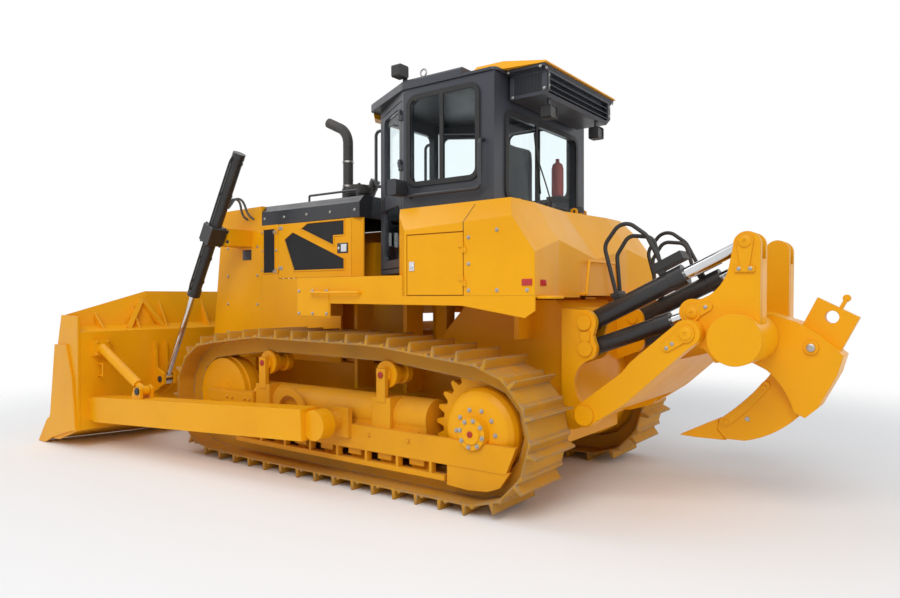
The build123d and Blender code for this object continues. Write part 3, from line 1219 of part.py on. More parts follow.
# tube with the shank holder, and on it the four tower plates, each a plate of its own
with BuildPart() as ripper_beam:
    for side in (1, -1):
        for y0, y1 in ((tower_in, tower_in + tower_plate), (tower_out - tower_plate, tower_out)):
            tower(*both(side, y0, y1))
        rod(*arm_head, 88, *both(side, tower_out - 5, lug_out))
        rod(*lift_head, 58, *both(side, tower_out - 5, tower_out + 14))
        teardrop(tilt_head, (tilt_head[0], tilt_head[1] - 175), 52, 26, *both(side, tower_out - 5, tower_out + 12))
        bar(tilt_head[0] - 62, tilt_head[0] + 62, *both(side, tower_out - 5, tower_out + 16),
            tilt_head[1] - 195, tilt_head[1] - 158)
        teardrop(lift_head, (lift_head[0] - 105, lift_head[1] + 45), 50, 30,
                 *both(side, tower_out - 5, tower_out + 12))
        # closing plate at the back of the tower
        plate(((-3174, 1300), (-3158, 1300), (-3164, 1765), (-3178, 1765)),
              *both(side, tower_in + tower_plate + seat_gap, tower_out - tower_plate - seat_gap))
        hole(*arm_head, head_pin_radius + running_gap, *both(side, tower_in - 5, lug_out + 5))
    hole(*beam_tube, beam_tube_radius + seat_gap, -beam_half_width, beam_half_width)
    rod(*beam_tube, beam_tube_radius, -beam_half_width, beam_half_width)
    # shank holder
    with BuildSketch(side_plane(-130)) as sides:
        with BuildLine():
            Polyline((-3036, 1400), (-3161, 1400), (-3315, 1352), (-3448, 1264), (-3584, 1140),
                     (-3549, 1017), (-3434, 788), (-3360, 718), (-3293, 749))
            ThreePointArc((-3293, 749), (-3228, 900), (-3122, 1023))
            Polyline((-3122, 1023), (-2985, 1090), (-3036, 1400))
        make_face()
    extrude(sides.sketch, amount=-260)
    extrude(shank_profile(shank_half + shank_gap, shank_gap), amount=2 * (shank_half + shank_gap),
            mode=Mode.SUBTRACT)
    for side in (1, -1):
        rod(-3398, 1188, 46, *both(side, 125, 150))
        rod(-3398, 1188, 30, *both(side, 125, 158))
pieces["ripper_beam"] = ripper_beam

with BuildPart() as ripper_pins:
    for side in (1, -1):
        rod(*arm_head, head_pin_radius, *both(side, tower_in + 2, ripper_arm_out + 8))
        rod(*arm_head, head_pin_radius + 14, *both(side, ripper_arm_out + 2, ripper_arm_out + 14))
        teardrop(arm_head, along(arm_head, arm_foot, 150, 10), 48, 34,
                 *both(side, ripper_arm_out + 2, ripper_arm_out + 12))
pieces["ripper_pins"] = ripper_pins

with BuildPart() as ripper_shank:
    extrude(shank_profile(shank_half), amount=2 * shank_half)
    hole(*shank_hole, shank_hole_radius, -shank_half - 5, shank_half + 5)
    # lifting eye on the shank's top edge
    plate(((-3560, 1430), (-3595, 1500), (-3575, 1512), (-3540, 1442)), -18, 18)
    rod(-3588, 1512, 24, -14, 14)
pieces["ripper_shank"] = ripper_shank

with BuildPart() as ripper_tip:
    # point
    plate(((-2833, 495), (-2775 + seat_gap, 563), (-2788 + seat_gap, 645), (-2720, 612), (-2505, 497),
           (-2620, 492)), -48, 48)
    # wear cheeks either side of the shank's leading edge
    for low, high in ((-52, -shank_half - seat_gap), (shank_half + seat_gap, 52)):
        with BuildSketch(side_plane(low)) as cheek:
            with BuildLine():
                ThreePointArc((-2792, 641), (-2986, 812), (-3080, 926))
                ThreePointArc((-3080, 926), (-3120, 930), (-3125, 893))
                ThreePointArc((-3125, 893), (-3010, 752), (-2862, 606))
                ThreePointArc((-2862, 606), (-2815, 600), (-2792, 641))
            make_face()
        extrude(cheek.sketch, amount=-(high - low))
    for x, z in ((-3090, 893), (-2838, 628)):
        for side in (1, -1):
            rod(x, z, 17, *both(side, 51, 58))
pieces["ripper_tip"] = ripper_tip


def barrels(foot, head, radius, foot_radius, gland):
    """Two barrels lying from foot towards head: eye, tube, gland and the oil pipe along the tube."""
    axis = Vector(head[0] - foot[0], 0, head[1] - foot[1]).normalized()
    for side in (1, -1):
        start = Vector(foot[0], side * cylinder_y, foot[1])
        tube_along(start + axis * 40, axis, gland - 70, radius)
        tube_along(start + axis * (gland - 110), axis, 110, radius + 6)
        rod(*foot, foot_radius, *both(side, cylinder_y - 66, cylinder_y + 66))


def cut_bore(foot, head, gland, bore, floor):
    """Bores of both barrels, open at the gland."""
    axis = Vector(head[0] - foot[0], 0, head[1] - foot[1]).normalized()
    for side in (1, -1):
        start = Vector(foot[0], side * cylinder_y, foot[1])
        with BuildSketch(Plane(origin=start + axis * floor, z_dir=axis)) as inside:
            Circle(bore)
        extrude(inside.sketch, amount=gland, mode=Mode.SUBTRACT)


def rods(foot, head, radius, eye_radius, inner_end):
    """Two piston rods from inside the barrels to the eyes at head."""
    axis = Vector(head[0] - foot[0], 0, head[1] - foot[1])
    length = axis.length
    axis = axis.normalized()
    for side in (1, -1):
        start = Vector(foot[0], side * cylinder_y, foot[1]) + axis * inner_end
        tube_along(start, axis, length - inner_end - eye_radius * 0.5, radius)
        rod(*head, eye_radius, *both(side, cylinder_y - rod_eye_half, cylinder_y + rod_eye_half))


rod_eye_half = 42.0
lift_bore, tilt_bore = 38.0, 42.0
lift_gland, tilt_gland = 630.0, 775.0
lift_floor, tilt_floor = 105.0, 110.0
tilt_barrel_radius = 68.0
with BuildPart() as ripper_lift_barrels:
    barrels(lift_foot, lift_head, 61, 62, lift_gland)
    cut_bore(lift_foot, lift_head, lift_gland, lift_bore, lift_floor)
    for side in (1, -1):
        hole(*lift_foot, lift_pin_radius + running_gap, *both(side, cylinder_y - 80, cylinder_y + 80))
pieces["ripper_lift_barrels"] = ripper_lift_barrels
with BuildPart() as ripper_lift_rods:
    rods(lift_foot, lift_head, lift_bore - running_gap, 50, lift_floor + 40)
pieces["ripper_lift_rods"] = ripper_lift_rods
with BuildPart() as ripper_tilt_barrels:
    barrels(tilt_foot, tilt_head, tilt_barrel_radius, tilt_barrel_radius, tilt_gland)
    cut_bore(tilt_foot, tilt_head, tilt_gland, tilt_bore, tilt_floor)
    for side in (1, -1):
        hole(*tilt_foot, tilt_pin_radius + running_gap, *both(side, cylinder_y - 80, cylinder_y + 80))
pieces["ripper_tilt_barrels"] = ripper_tilt_barrels
hose_radius = 15.0
hose_routes = (             # y and the corners x, z of one side's two hoses, and their bend
    (440.0, ((-2174, 1548), (-2080, 1900), (-2225, 2090), (-2400, 1960), (-2500, 1768)), 105.0),
    (368.0, ((-2172, 1550), (-2150, 1830), (-2240, 1970), (-2420, 1950), (-2477, 1750)), 78.0),
)
tilt_dir = Vector(tilt_head[0] - tilt_foot[0], 0, tilt_head[1] - tilt_foot[1]).normalized()
valve_lift = 131.0          # valve block above the tilt cylinder's centre line
valve_at, clamp_at = 700.0, 262.0      # along the cylinder from its foot
with BuildPart() as ripper_hoses:
    for side in (1, -1):
        # valve block and hose clamp, each on a saddle over the barrel
        for at, length, height, lift, back in ((valve_at, 230, 60, valve_lift, 66),
                                               (clamp_at, 60, 30, valve_lift - 33, 0)):
            spot = along(tilt_foot, tilt_head, at, -lift)
            slant = Plane(origin=(spot[0], side * 410, spot[1]), x_dir=(tilt_dir.X, 0, tilt_dir.Z),
                          z_dir=(0, -1, 0))
            with BuildSketch(slant.offset(-70)) as block:
                Rectangle(length, height)
            extrude(block.sketch, amount=140)
            reach = lift - tilt_barrel_radius - seat_gap
            with BuildSketch(slant.offset(-65 if side > 0 else 25)) as saddle:
                with Locations((-back, (reach + height / 2 - 1) / 2)):
                    Rectangle(50, reach - height / 2 + 1)
            extrude(saddle.sketch, amount=40)
        for y, corners, bend in hose_routes:
            pipe([(x, side * y, z) for x, z in corners], hose_radius, bend)
pieces["ripper_hoses"] = ripper_hoses
with BuildPart() as ripper_tilt_rods:
    rods(tilt_foot, tilt_head, tilt_bore - running_gap, 54, tilt_floor + 110)
pieces["ripper_tilt_rods"] = ripper_tilt_rods
with BuildPart() as ripper_tilt_pins:
    for side in (1, -1):
        rod(*tilt_foot, tilt_pin_radius, *both(side, ear_inner_y - 12, bracket_half_width + 14))
        rod(*tilt_foot, tilt_pin_radius + 18, *both(side, bracket_half_width + 2, bracket_half_width + 16))
pieces["ripper_tilt_pins"] = ripper_tilt_pins

for name, piece in pieces.items():
    piece.part.label = name
    export_step(piece.part, f"parts/{name}.step")
print(len(pieces), "nodes")
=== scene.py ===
import bpy, bmesh, json, math
from mathutils import Matrix, Vector


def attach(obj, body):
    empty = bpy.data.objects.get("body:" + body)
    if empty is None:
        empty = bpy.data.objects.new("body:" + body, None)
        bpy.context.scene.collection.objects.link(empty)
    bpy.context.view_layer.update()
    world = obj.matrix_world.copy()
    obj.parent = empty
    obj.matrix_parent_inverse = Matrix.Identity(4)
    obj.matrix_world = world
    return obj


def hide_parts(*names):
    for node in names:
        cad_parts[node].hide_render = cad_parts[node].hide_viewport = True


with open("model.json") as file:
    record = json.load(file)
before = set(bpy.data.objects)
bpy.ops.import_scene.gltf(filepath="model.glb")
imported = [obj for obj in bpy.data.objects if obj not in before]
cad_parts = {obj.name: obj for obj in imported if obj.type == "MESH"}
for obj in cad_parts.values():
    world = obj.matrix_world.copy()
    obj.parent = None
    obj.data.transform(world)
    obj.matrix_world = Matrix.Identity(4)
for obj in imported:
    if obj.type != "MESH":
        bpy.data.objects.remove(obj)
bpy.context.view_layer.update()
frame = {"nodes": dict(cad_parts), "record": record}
nodes = frame["nodes"]

# view and light
camera = {"place": (-4.1776, 5.1952, 1.5232), "yaw": -53.60, "pitch": -0.166, "roll": -0.07, "lens": 27.59,
          "sensor": 36}
studio = {"color": (0.93, 0.96, 1.0), "strength": 0.52, "lampSize": 7.0, "lampTarget": (0, 0, 1)}
lamps = {                   # power and place
    "key": (640, (-4, 9, 9)), "fill": (200, (-11, -1, 5)), "back": (230, (7, 3, 8)),
}
ground = {"reach": 30, "color": (0.93, 0.93, 0.93), "fadeFrom": 3.8, "fadeTo": 9.5}


def show(thing):
    bpy.context.scene.collection.objects.link(thing)
    return thing


def addNode(tree, kind, **settings):
    made = tree.nodes.new("ShaderNode" + kind)
    for key, value in settings.items():
        setattr(made, key, value)
    return made


def mixShaders(tree, amount, first, second, target):
    mix = addNode(tree, "MixShader")
    for place, source in enumerate((amount, first.outputs[0], second.outputs[0])):
        tree.links.new(source, mix.inputs[place])
    tree.links.new(mix.outputs[0], addNode(tree, target).inputs["Surface"])


def makeCamera():
    data = bpy.data.cameras.new("camera")
    data.lens = camera["lens"]
    data.sensor_width = camera["sensor"]
    yaw, pitch, roll = (math.radians(camera[key]) for key in ("yaw", "pitch", "roll"))
    look = Vector((math.cos(yaw) * math.cos(pitch), math.sin(yaw) * math.cos(pitch), math.sin(pitch)))
    turn = look.to_track_quat("-Z", "Y").to_matrix().to_4x4() @ Matrix.Rotation(roll, 4, "Z")
    cam = show(bpy.data.objects.new("camera", data))
    cam.matrix_world = Matrix.Translation(camera["place"]) @ turn
    bpy.context.scene.camera = cam


def makeLamp(name, power, place):
    data = bpy.data.lights.new(name, "AREA")
    data.energy = power
    data.shape = "SQUARE"
    data.size = studio["lampSize"]
    look = Vector(studio["lampTarget"]) - Vector(place)
    lamp = show(bpy.data.objects.new(name, data))
    lamp.matrix_world = Matrix.Translation(place) @ look.to_track_quat("-Z", "Y").to_matrix().to_4x4()


def makeWorld():
    # white where it is seen, in glass and in reflections, grey where it lights the machine
    world = bpy.data.worlds.new("studio")
    bpy.context.scene.world = world
    world.use_nodes = True
    tree = world.node_tree
    tree.nodes.clear()
    path = addNode(tree, "LightPath")
    grey = addNode(tree, "Background")
    grey.inputs["Color"].default_value = (*studio["color"], 1)
    grey.inputs["Strength"].default_value = studio["strength"]
    white = addNode(tree, "Background")
    white.inputs["Color"].default_value = (1, 1, 1, 1)
    seen = path.outputs["Is Camera Ray"]
    for ray in ("Is Transmission Ray", "Is Glossy Ray"):
        either = addNode(tree, "Math", operation="MAXIMUM")
        tree.links.new(seen, either.inputs[0])
        tree.links.new(path.outputs[ray], either.inputs[1])
        seen = either.outputs[0]
    mixShaders(tree, seen, grey, white, "OutputWorld")


def makeFloor():
    # pale sheet that fades out into the white background
    mesh = bpy.data.meshes.new("floor")
    reach = ground["reach"]
    mesh.from_pydata([(-reach, -reach, 0), (reach, -reach, 0), (reach, reach, 0), (-reach, reach, 0)], [],
                     [(0, 1, 2, 3)])
    floor = show(bpy.data.objects.new("floor", mesh))
    material = bpy.data.materials.new("floor")
    material.use_nodes = True
    tree = material.node_tree
    tree.nodes.clear()
    pale = addNode(tree, "BsdfDiffuse")
    pale.inputs["Color"].default_value = (*ground["color"], 1)
    clear = addNode(tree, "BsdfTransparent")
    place = addNode(tree, "TexCoord")
    far = addNode(tree, "VectorMath", operation="LENGTH")
    fade = addNode(tree, "MapRange", interpolation_type="SMOOTHERSTEP")
    fade.inputs["From Min"].default_value = ground["fadeFrom"]
    fade.inputs["From Max"].default_value = ground["fadeTo"]
    tree.links.new(place.outputs["Object"], far.inputs[0])
    tree.links.new(far.outputs["Value"], fade.inputs["Value"])
    mixShaders(tree, fade.outputs[0], pale, clear, "OutputMaterial")
    mesh.materials.append(material)


makeCamera()
for name, (power, place) in lamps.items():
    makeLamp(name, power, place)
makeWorld()
makeFloor()
bpy.context.scene.view_settings.view_transform = "Standard"
print("view and light ready")

# shared effects
noises = {                  # scale, detail and roughness, then the range of the noise that counts
    "drift": (1.3, 4, 0.55, 0.40, 0.68), "chips": (23, 6, 0.70, 0.42, 0.62), "patches": (7, 6, 0.65, 0.36, 0.72),
    "smear": (5, 5, 0.55, 0.30, 0.70), "haze": (3, 5, 0.55, 0.40, 0.80), "grain": (170, 3, 0.55, 0, 1),
}
surface = {"edgeFrom": 0.995, "edgeTo": 0.90, "upFrom": 0.1, "upTo": 0.9, "upLeast": 0.12, "smear": (-0.05, 0.08),
        "grainDepth": 0.002}


def newGroup(name, inputs, outputs):
    group = bpy.data.node_groups.new(name, "ShaderNodeTree")
    for label, kind, value in inputs:
        socket = group.interface.new_socket(label, in_out="INPUT", socket_type=kind)
        socket.default_value = value
    for label, kind in outputs:
        group.interface.new_socket(label, in_out="OUTPUT", socket_type=kind)
    return group, group.nodes.new("NodeGroupInput"), group.nodes.new("NodeGroupOutput")


def noiseOf(tree, kind):
    place = addNode(tree, "TexCoord")
    noise = addNode(tree, "TexNoise")
    for label, number in zip(("Scale", "Detail", "Roughness"), noises[kind]):
        noise.inputs[label].default_value = number
    tree.links.new(place.outputs["Object"], noise.inputs["Vector"])
    return noise.outputs["Fac"]


def remap(tree, value, low, high, toLow=0.0, toHigh=1.0):
    node = addNode(tree, "MapRange")
    for label, number in (("From Min", low), ("From Max", high), ("To Min", toLow), ("To Max", toHigh)):
        node.inputs[label].default_value = number
    tree.links.new(value, node.inputs["Value"])
    return node.outputs["Result"]


def patchesOf(tree, kind, toLow=0.0, toHigh=1.0):
    return remap(tree, noiseOf(tree, kind), *noises[kind][3:], toLow, toHigh)


def combined(tree, operation, first, second):
    node = addNode(tree, "Math", operation=operation)
    for place, value in enumerate((first, second)):
        if isinstance(value, (int, float)):
            node.inputs[place].default_value = value
        else:
            tree.links.new(value, node.inputs[place])
    return node.outputs[0]


def mixColors(tree, amount, first, second):
    node = addNode(tree, "Mix", data_type="RGBA")
    tree.links.new(amount, node.inputs[0])
    for place, value in ((6, first), (7, second)):
        if isinstance(value, tuple):
            node.inputs[place].default_value = value
        else:
            tree.links.new(value, node.inputs[place])
    return node.outputs[2]


def makePaintSkin():
    # colour drift, worn edges, dust on faces that look up, fine orange peel and softened edges
    group, given, result = newGroup("paintSkin", [
        ("Base", "NodeSocketColor", (0.8, 0.5, 0.1, 1)), ("Drift", "NodeSocketColor", (0.6, 0.35, 0.05, 1)),
        ("Dust Color", "NodeSocketColor", (0.6, 0.5, 0.38, 1)),
        ("Wear Color", "NodeSocketColor", (0.3, 0.28, 0.26, 1)),
        ("Dust", "NodeSocketFloat", 0.2), ("Wear", "NodeSocketFloat", 0.2), ("Gloss", "NodeSocketFloat", 0.3),
        ("Peel", "NodeSocketFloat", 0.05), ("Edge", "NodeSocketFloat", 0.006)],
        [("Color", "NodeSocketColor"), ("Roughness", "NodeSocketFloat"), ("Normal", "NodeSocketVector")])
    link = group.links.new
    drifted = mixColors(group, patchesOf(group, "drift"), given.outputs["Base"], given.outputs["Drift"])
    soft = addNode(group, "Bevel", samples=4)
    link(given.outputs["Edge"], soft.inputs["Radius"])
    shape = addNode(group, "NewGeometry")
    turn = addNode(group, "VectorMath", operation="DOT_PRODUCT")
    link(soft.outputs[0], turn.inputs[0])
    link(shape.outputs["Normal"], turn.inputs[1])
    edge = remap(group, turn.outputs["Value"], surface["edgeFrom"], surface["edgeTo"])
    chipped = combined(group, "MULTIPLY", edge, patchesOf(group, "chips"))
    worn = combined(group, "MULTIPLY", chipped, given.outputs["Wear"])
    wornColor = mixColors(group, worn, drifted, given.outputs["Wear Color"])
    split = addNode(group, "SeparateXYZ")
    link(shape.outputs["Normal"], split.inputs[0])
    up = remap(group, split.outputs["Z"], surface["upFrom"], surface["upTo"], surface["upLeast"], 1.0)
    settled = combined(group, "MULTIPLY", up, patchesOf(group, "patches"))
    dust = combined(group, "MULTIPLY", settled, given.outputs["Dust"])
    link(mixColors(group, dust, wornColor, given.outputs["Dust Color"]), result.inputs["Color"])
    rough = combined(group, "ADD", patchesOf(group, "smear", *surface["smear"]), given.outputs["Gloss"])
    link(combined(group, "ADD", rough, dust), result.inputs["Roughness"])
    bump = addNode(group, "Bump")
    bump.inputs["Distance"].default_value = surface["grainDepth"]
    link(noiseOf(group, "grain"), bump.inputs["Height"])
    link(given.outputs["Peel"], bump.inputs["Strength"])
    link(soft.outputs[0], bump.inputs["Normal"])
    link(bump.outputs[0], result.inputs["Normal"])
    return group


def makeWeave():
    # crossed threads for the seat cloth
    group, given, result = newGroup("threadWeave", [("Scale", "NodeSocketFloat", 240.0)],
                                    [("Height", "NodeSocketFloat")])
    place = addNode(group, "TexCoord")
    rows = []
    for direction in ("X", "Z"):
        wave = addNode(group, "TexWave", bands_direction=direction)
        group.links.new(place.outputs["Object"], wave.inputs["Vector"])
        group.links.new(given.outputs["Scale"], wave.inputs["Scale"])
        rows.append(wave.outputs["Fac"])
    group.links.new(combined(group, "MULTIPLY", *rows), result.inputs["Height"])
    return group


paintSkin = makePaintSkin()
threadWeave = makeWeave()
usualColors = (             # input, key of the look and what it is where the look names none
    ("Base", "base", (0.5, 0.5, 0.5)), ("Drift", "drift", (0.5, 0.5, 0.5)),
    ("Dust Color", "dustColor", (0.40, 0.31, 0.21)), ("Wear Color", "wearColor", (0.22, 0.20, 0.19)),
)
usualAmounts = (("Dust", "dust", 0.12), ("Wear", "wear", 0.15), ("Gloss", "rough", 0.4), ("Peel", "peel", 0.05),
                ("Edge", "edge", 0.006))
coatRoughness = 0.15
weaveBump = {"strength": 0.5, "depth": 0.001, "sheen": 0.3}
paneIor = 1.12


def newMaterial(name):
    material = bpy.data.materials.new(name)
    material.use_nodes = True
    tree = material.node_tree
    return material, tree, tree.nodes["Principled BSDF"]


def paint(name, look):
    material, tree, shader = newMaterial(name)
    coat = addNode(tree, "Group", node_tree=paintSkin)
    for label, key, usual in usualColors:
        coat.inputs[label].default_value = (*look.get(key, usual), 1)
    for label, key, usual in usualAmounts:
        coat.inputs[label].default_value = look.get(key, usual)
    for label in ("Color", "Roughness", "Normal"):
        tree.links.new(coat.outputs[label], shader.inputs["Base Color" if label == "Color" else label])
    shader.inputs["Metallic"].default_value = look.get("metal", 0.0)
    shader.inputs["Coat Weight"].default_value = look.get("coat", 0.0)
    shader.inputs["Coat Roughness"].default_value = coatRoughness
    shader.inputs["Specular IOR Level"].default_value = look.get("specular", 0.4)
    if look.get("weave"):
        threads = addNode(tree, "Group", node_tree=threadWeave)
        threads.inputs["Scale"].default_value = look["weave"]
        bump = addNode(tree, "Bump")
        bump.inputs["Strength"].default_value = weaveBump["strength"]
        bump.inputs["Distance"].default_value = weaveBump["depth"]
        tree.links.new(threads.outputs["Height"], bump.inputs["Height"])
        tree.links.new(coat.outputs["Normal"], bump.inputs["Normal"])
        tree.links.new(bump.outputs[0], shader.inputs["Normal"])
        shader.inputs["Sheen Weight"].default_value = weaveBump["sheen"]
    return material


def pane(name, color):
    material, tree, shader = newMaterial(name)
    shader.inputs["Base Color"].default_value = (*color, 1)
    shader.inputs["Transmission Weight"].default_value = 1.0
    shader.inputs["IOR"].default_value = paneIor
    tree.links.new(patchesOf(tree, "haze", 0.01, 0.05), shader.inputs["Roughness"])
    return material


looks = {
    "bodyPaint": {"base": (0.90, 0.405, 0.003), "drift": (0.84, 0.365, 0.003), "dust": 0.05, "rough": 0.34,
                  "coat": 0.04, "wear": 0.12, "specular": 0.2},
    "trackPaint": {"base": (0.62, 0.285, 0.012), "drift": (0.46, 0.225, 0.025), "dust": 0.35, "rough": 0.55,
                   "peel": 0.25, "dustColor": (0.33, 0.25, 0.18), "wear": 1.0, "wearColor": (0.27, 0.25, 0.23),
                   "specular": 0.25, "edge": 0.022},
    "framePaint": {"base": (0.82, 0.36, 0.005), "drift": (0.70, 0.30, 0.010), "dust": 0.15, "rough": 0.45,
                   "specular": 0.2, "peel": 0.1, "wear": 0.3},
    "hoodBlack": {"base": (0.024, 0.026, 0.032), "drift": (0.032, 0.034, 0.040), "dust": 0.06, "rough": 0.34,
                  "coat": 0.1},
    "cabPaint": {"base": (0.040, 0.044, 0.056), "drift": (0.048, 0.052, 0.062), "dust": 0.05, "rough": 0.4},
    "cylinderBlack": {"base": (0.018, 0.018, 0.020), "drift": (0.03, 0.03, 0.03), "rough": 0.36, "coat": 0.15},
    "chromeRod": {"base": (0.68, 0.69, 0.70), "drift": (0.58, 0.59, 0.60), "dust": 0.0, "rough": 0.12,
                  "metal": 1.0, "peel": 0.0, "wear": 0.0},
    "zincBolt": {"base": (0.42, 0.41, 0.39), "drift": (0.34, 0.33, 0.30), "dust": 0.1, "rough": 0.38,
                 "metal": 0.85, "wear": 0.1, "edge": 0.001},
    "sootBlack": {"base": (0.03, 0.029, 0.028), "drift": (0.05, 0.045, 0.04), "rough": 0.55},
    # black of the wires, and of the sheets of painted shade behind the door and panel meshes
    "meshBlack": {"base": (0.020, 0.021, 0.024), "drift": (0.028, 0.028, 0.03), "rough": 0.5, "edge": 0.001,
                  "wear": 0.0},
    "plastic": {"base": (0.022, 0.022, 0.024), "drift": (0.03, 0.03, 0.03), "rough": 0.55, "peel": 0.3,
                "wear": 0.0},
    "seal": {"base": (0.012, 0.012, 0.013), "drift": (0.018, 0.018, 0.018), "rough": 0.6, "wear": 0.0},
    "cloth": {"base": (0.03, 0.03, 0.036), "drift": (0.045, 0.045, 0.052), "rough": 0.85, "peel": 0.3,
              "edge": 0.004, "weave": 260.0, "wear": 0.0},
    "hose": {"base": (0.018, 0.018, 0.018), "drift": (0.03, 0.03, 0.03), "rough": 0.5, "wear": 0.0},
    "greyHose": {"base": (0.16, 0.17, 0.18), "drift": (0.12, 0.13, 0.14), "rough": 0.55, "wear": 0.0},
    "reflector": {"base": (0.50, 0.012, 0.010), "drift": (0.42, 0.01, 0.01), "rough": 0.18, "coat": 0.5,
                  "edge": 0.001},
    "redPlug": {"base": (0.42, 0.03, 0.02), "drift": (0.32, 0.03, 0.02), "rough": 0.45, "edge": 0.001},
}
finish = {name: paint(name, look) for name, look in looks.items()}
finish["glass"] = pane("glass", (0.93, 0.99, 1.0))
finish["lens"] = pane("lens", (0.95, 0.95, 0.93))
# look of a CAD piece by its slot, where it has no look of its own
bySlot = {
    "body_paint": "bodyPaint", "track_steel": "trackPaint", "black_paint": "hoodBlack", "cab_paint": "cabPaint",
    "exhaust_black": "sootBlack", "engine_paint": "bodyPaint", "glass": "glass", "chrome": "chromeRod",
    "cab_plastic": "plastic", "seat_cloth": "cloth", "lens": "lens", "hose_rubber": "hose", "seal_rubber": "seal",
}
ownFinish = {
    "lift_barrels": "cylinderBlack", "ripper_lift_barrels": "cylinderBlack", "ripper_tilt_barrels": "cylinderBlack",
    "track_frame_left": "framePaint", "track_frame_right": "framePaint", "precleaner": "sootBlack",
    "radiator_grille": "hoodBlack",
}
# finish of each CAD piece in the record: its own look, else the look of its slot
for part in frame["record"]["subparts"]:
    piece = nodes[part["node"]]
    piece.data.materials.clear()
    piece.data.materials.append(finish[ownFinish.get(part["node"], bySlot[part["material_slot"]])])
print("materials on the CAD pieces")


# shared making of small parts, in metres
def finished(name, bm, look, body, smooth=True):
    mesh = bpy.data.meshes.new(name)
    bmesh.ops.remove_doubles(bm, verts=bm.verts, dist=0.00001)
    bmesh.ops.recalc_face_normals(bm, faces=bm.faces)
    bm.to_mesh(mesh)
    bm.free()
    piece = show(bpy.data.objects.new(name, mesh))
    mesh.materials.append(finish[look])
    if smooth:
        mesh.shade_smooth()
        mesh.set_sharp_from_angle(angle=math.radians(32))
    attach(piece, body)
    return piece


def facing(at, along):
    along = Vector(along).normalized()
    return Matrix.Translation(Vector(at)) @ along.to_track_quat("Z", "Y").to_matrix().to_4x4()


def addTurned(bm, at, along, profile, sides=24):
    # closed turned body from (radius, height) pairs
    place = facing(at, along)
    rings = []
    for radius, height in profile:
        count = 1 if radius < 1e-6 else sides
        rings.append([bm.verts.new(place @ Vector((radius * math.cos(2 * math.pi * i / count),
                                                   radius * math.sin(2 * math.pi * i / count), height)))
                      for i in range(count)])
    for low, high in zip(rings, rings[1:]):
        for i in range(max(len(low), len(high))):
            corners = [low[i % len(low)], low[(i + 1) % len(low)], high[(i + 1) % len(high)], high[i % len(high)]]
            corners = list(dict.fromkeys(corners))
            if len(corners) > 2:
                bm.faces.new(corners)


def addBolt(bm, at, along, size=0.012):
    # washer and chamfered hexagon head
    addTurned(bm, at, along, [(0, 0), (size * 1.3, 0), (size * 1.3, size * 0.2), (size * 1.2, size * 0.26),
                              (0, size * 0.26)], 20)
    addTurned(bm, at, along, [(0, size * 0.26), (size, size * 0.26), (size, size * 0.82), (size * 0.86, size * 0.95),
                              (0, size * 0.95)], 6)


def addBlock(bm, low, high, rounding=0.0, turn=None):
    made = bmesh.ops.create_cube(bm, size=1.0)["verts"]
    for vert in made:
        for axis in range(3):
            vert.co[axis] = low[axis] if vert.co[axis] < 0 else high[axis]
    if turn:
        bmesh.ops.transform(bm, matrix=turn, verts=made)
    if rounding:
        edges = list({edge for vert in made for edge in vert.link_edges})
        bmesh.ops.bevel(bm, geom=edges, offset=rounding, segments=2, affect="EDGES", profile=0.6)


def offsetLoop(points, distance):
    # closed (x, z) outline moved outward by distance, corners mitred
    area = sum(a[0] * b[1] - b[0] * a[1] for a, b in zip(points, points[1:] + points[:1]))
    sign = 1 if area > 0 else -1
    moved = []
    for i, here in enumerate(points):
        before, after = Vector(points[i - 1]), Vector(points[(i + 1) % len(points)])
        here = Vector(here)
        first, second = (here - before).normalized(), (after - here).normalized()
        outA = Vector((first.y, -first.x)) * sign
        outB = Vector((second.y, -second.x)) * sign
        miter = (outA + outB).normalized()
        moved.append(tuple(here + miter * (distance / max(miter.dot(outA), 0.35))))
    return moved


def joinLoops(bm, loops):
    # quads between each loop and the next
    for a, b in zip(loops, loops[1:]):
        for i in range(len(a)):
            j = (i + 1) % len(a)
            bm.faces.new((a[i], a[j], b[j], b[i]))


def addRing(bm, points, width, y0, y1):
    # frame round an (x, z) outline, between two y
    inner, outer = list(points), offsetLoop(list(points), width)
    rows = ((inner, y0), (outer, y0), (offsetLoop(outer, -width * 0.15), y1), (offsetLoop(inner, width * 0.15), y1))
    layers = [[bm.verts.new((x, y, z)) for x, z in loop] for loop, y in rows]
    joinLoops(bm, layers + layers[:1])


def addSleeve(bm, half, bore, bevel, place):
    # block of the given half sizes with a round bore along its z
    turns = [2 * math.pi * i / 64 for i in range(64)]
    corner = math.atan2(half[1], half[0])
    turns = sorted(turns + [corner, math.pi - corner, math.pi + corner, 2 * math.pi - corner])
    rims = []
    for inset, z in ((None, -half[2]), (bevel, -half[2]), (0, bevel - half[2]), (0, half[2] - bevel),
                     (bevel, half[2]), (None, half[2])):
        ring = []
        for turn in turns:
            x, y = math.cos(turn), math.sin(turn)
            reach = bore if inset is None else min((half[0] - inset) / max(abs(x), 1e-9),
                                                   (half[1] - inset) / max(abs(y), 1e-9))
            ring.append(bm.verts.new(place @ Vector((reach * x, reach * y, z))))
        rims.append(ring)
    joinLoops(bm, rims + rims[:1])


def crossings(points, axis, at):
    # where the outline crosses the line on which the given axis has a value
    other = 1 - axis
    found = []
    for a, b in zip(points, points[1:] + points[:1]):
        if (a[axis] - at) * (b[axis] - at) < 0:
            share = (at - a[axis]) / (b[axis] - a[axis])
            found.append(a[other] + share * (b[other] - a[other]))
    return sorted(found)


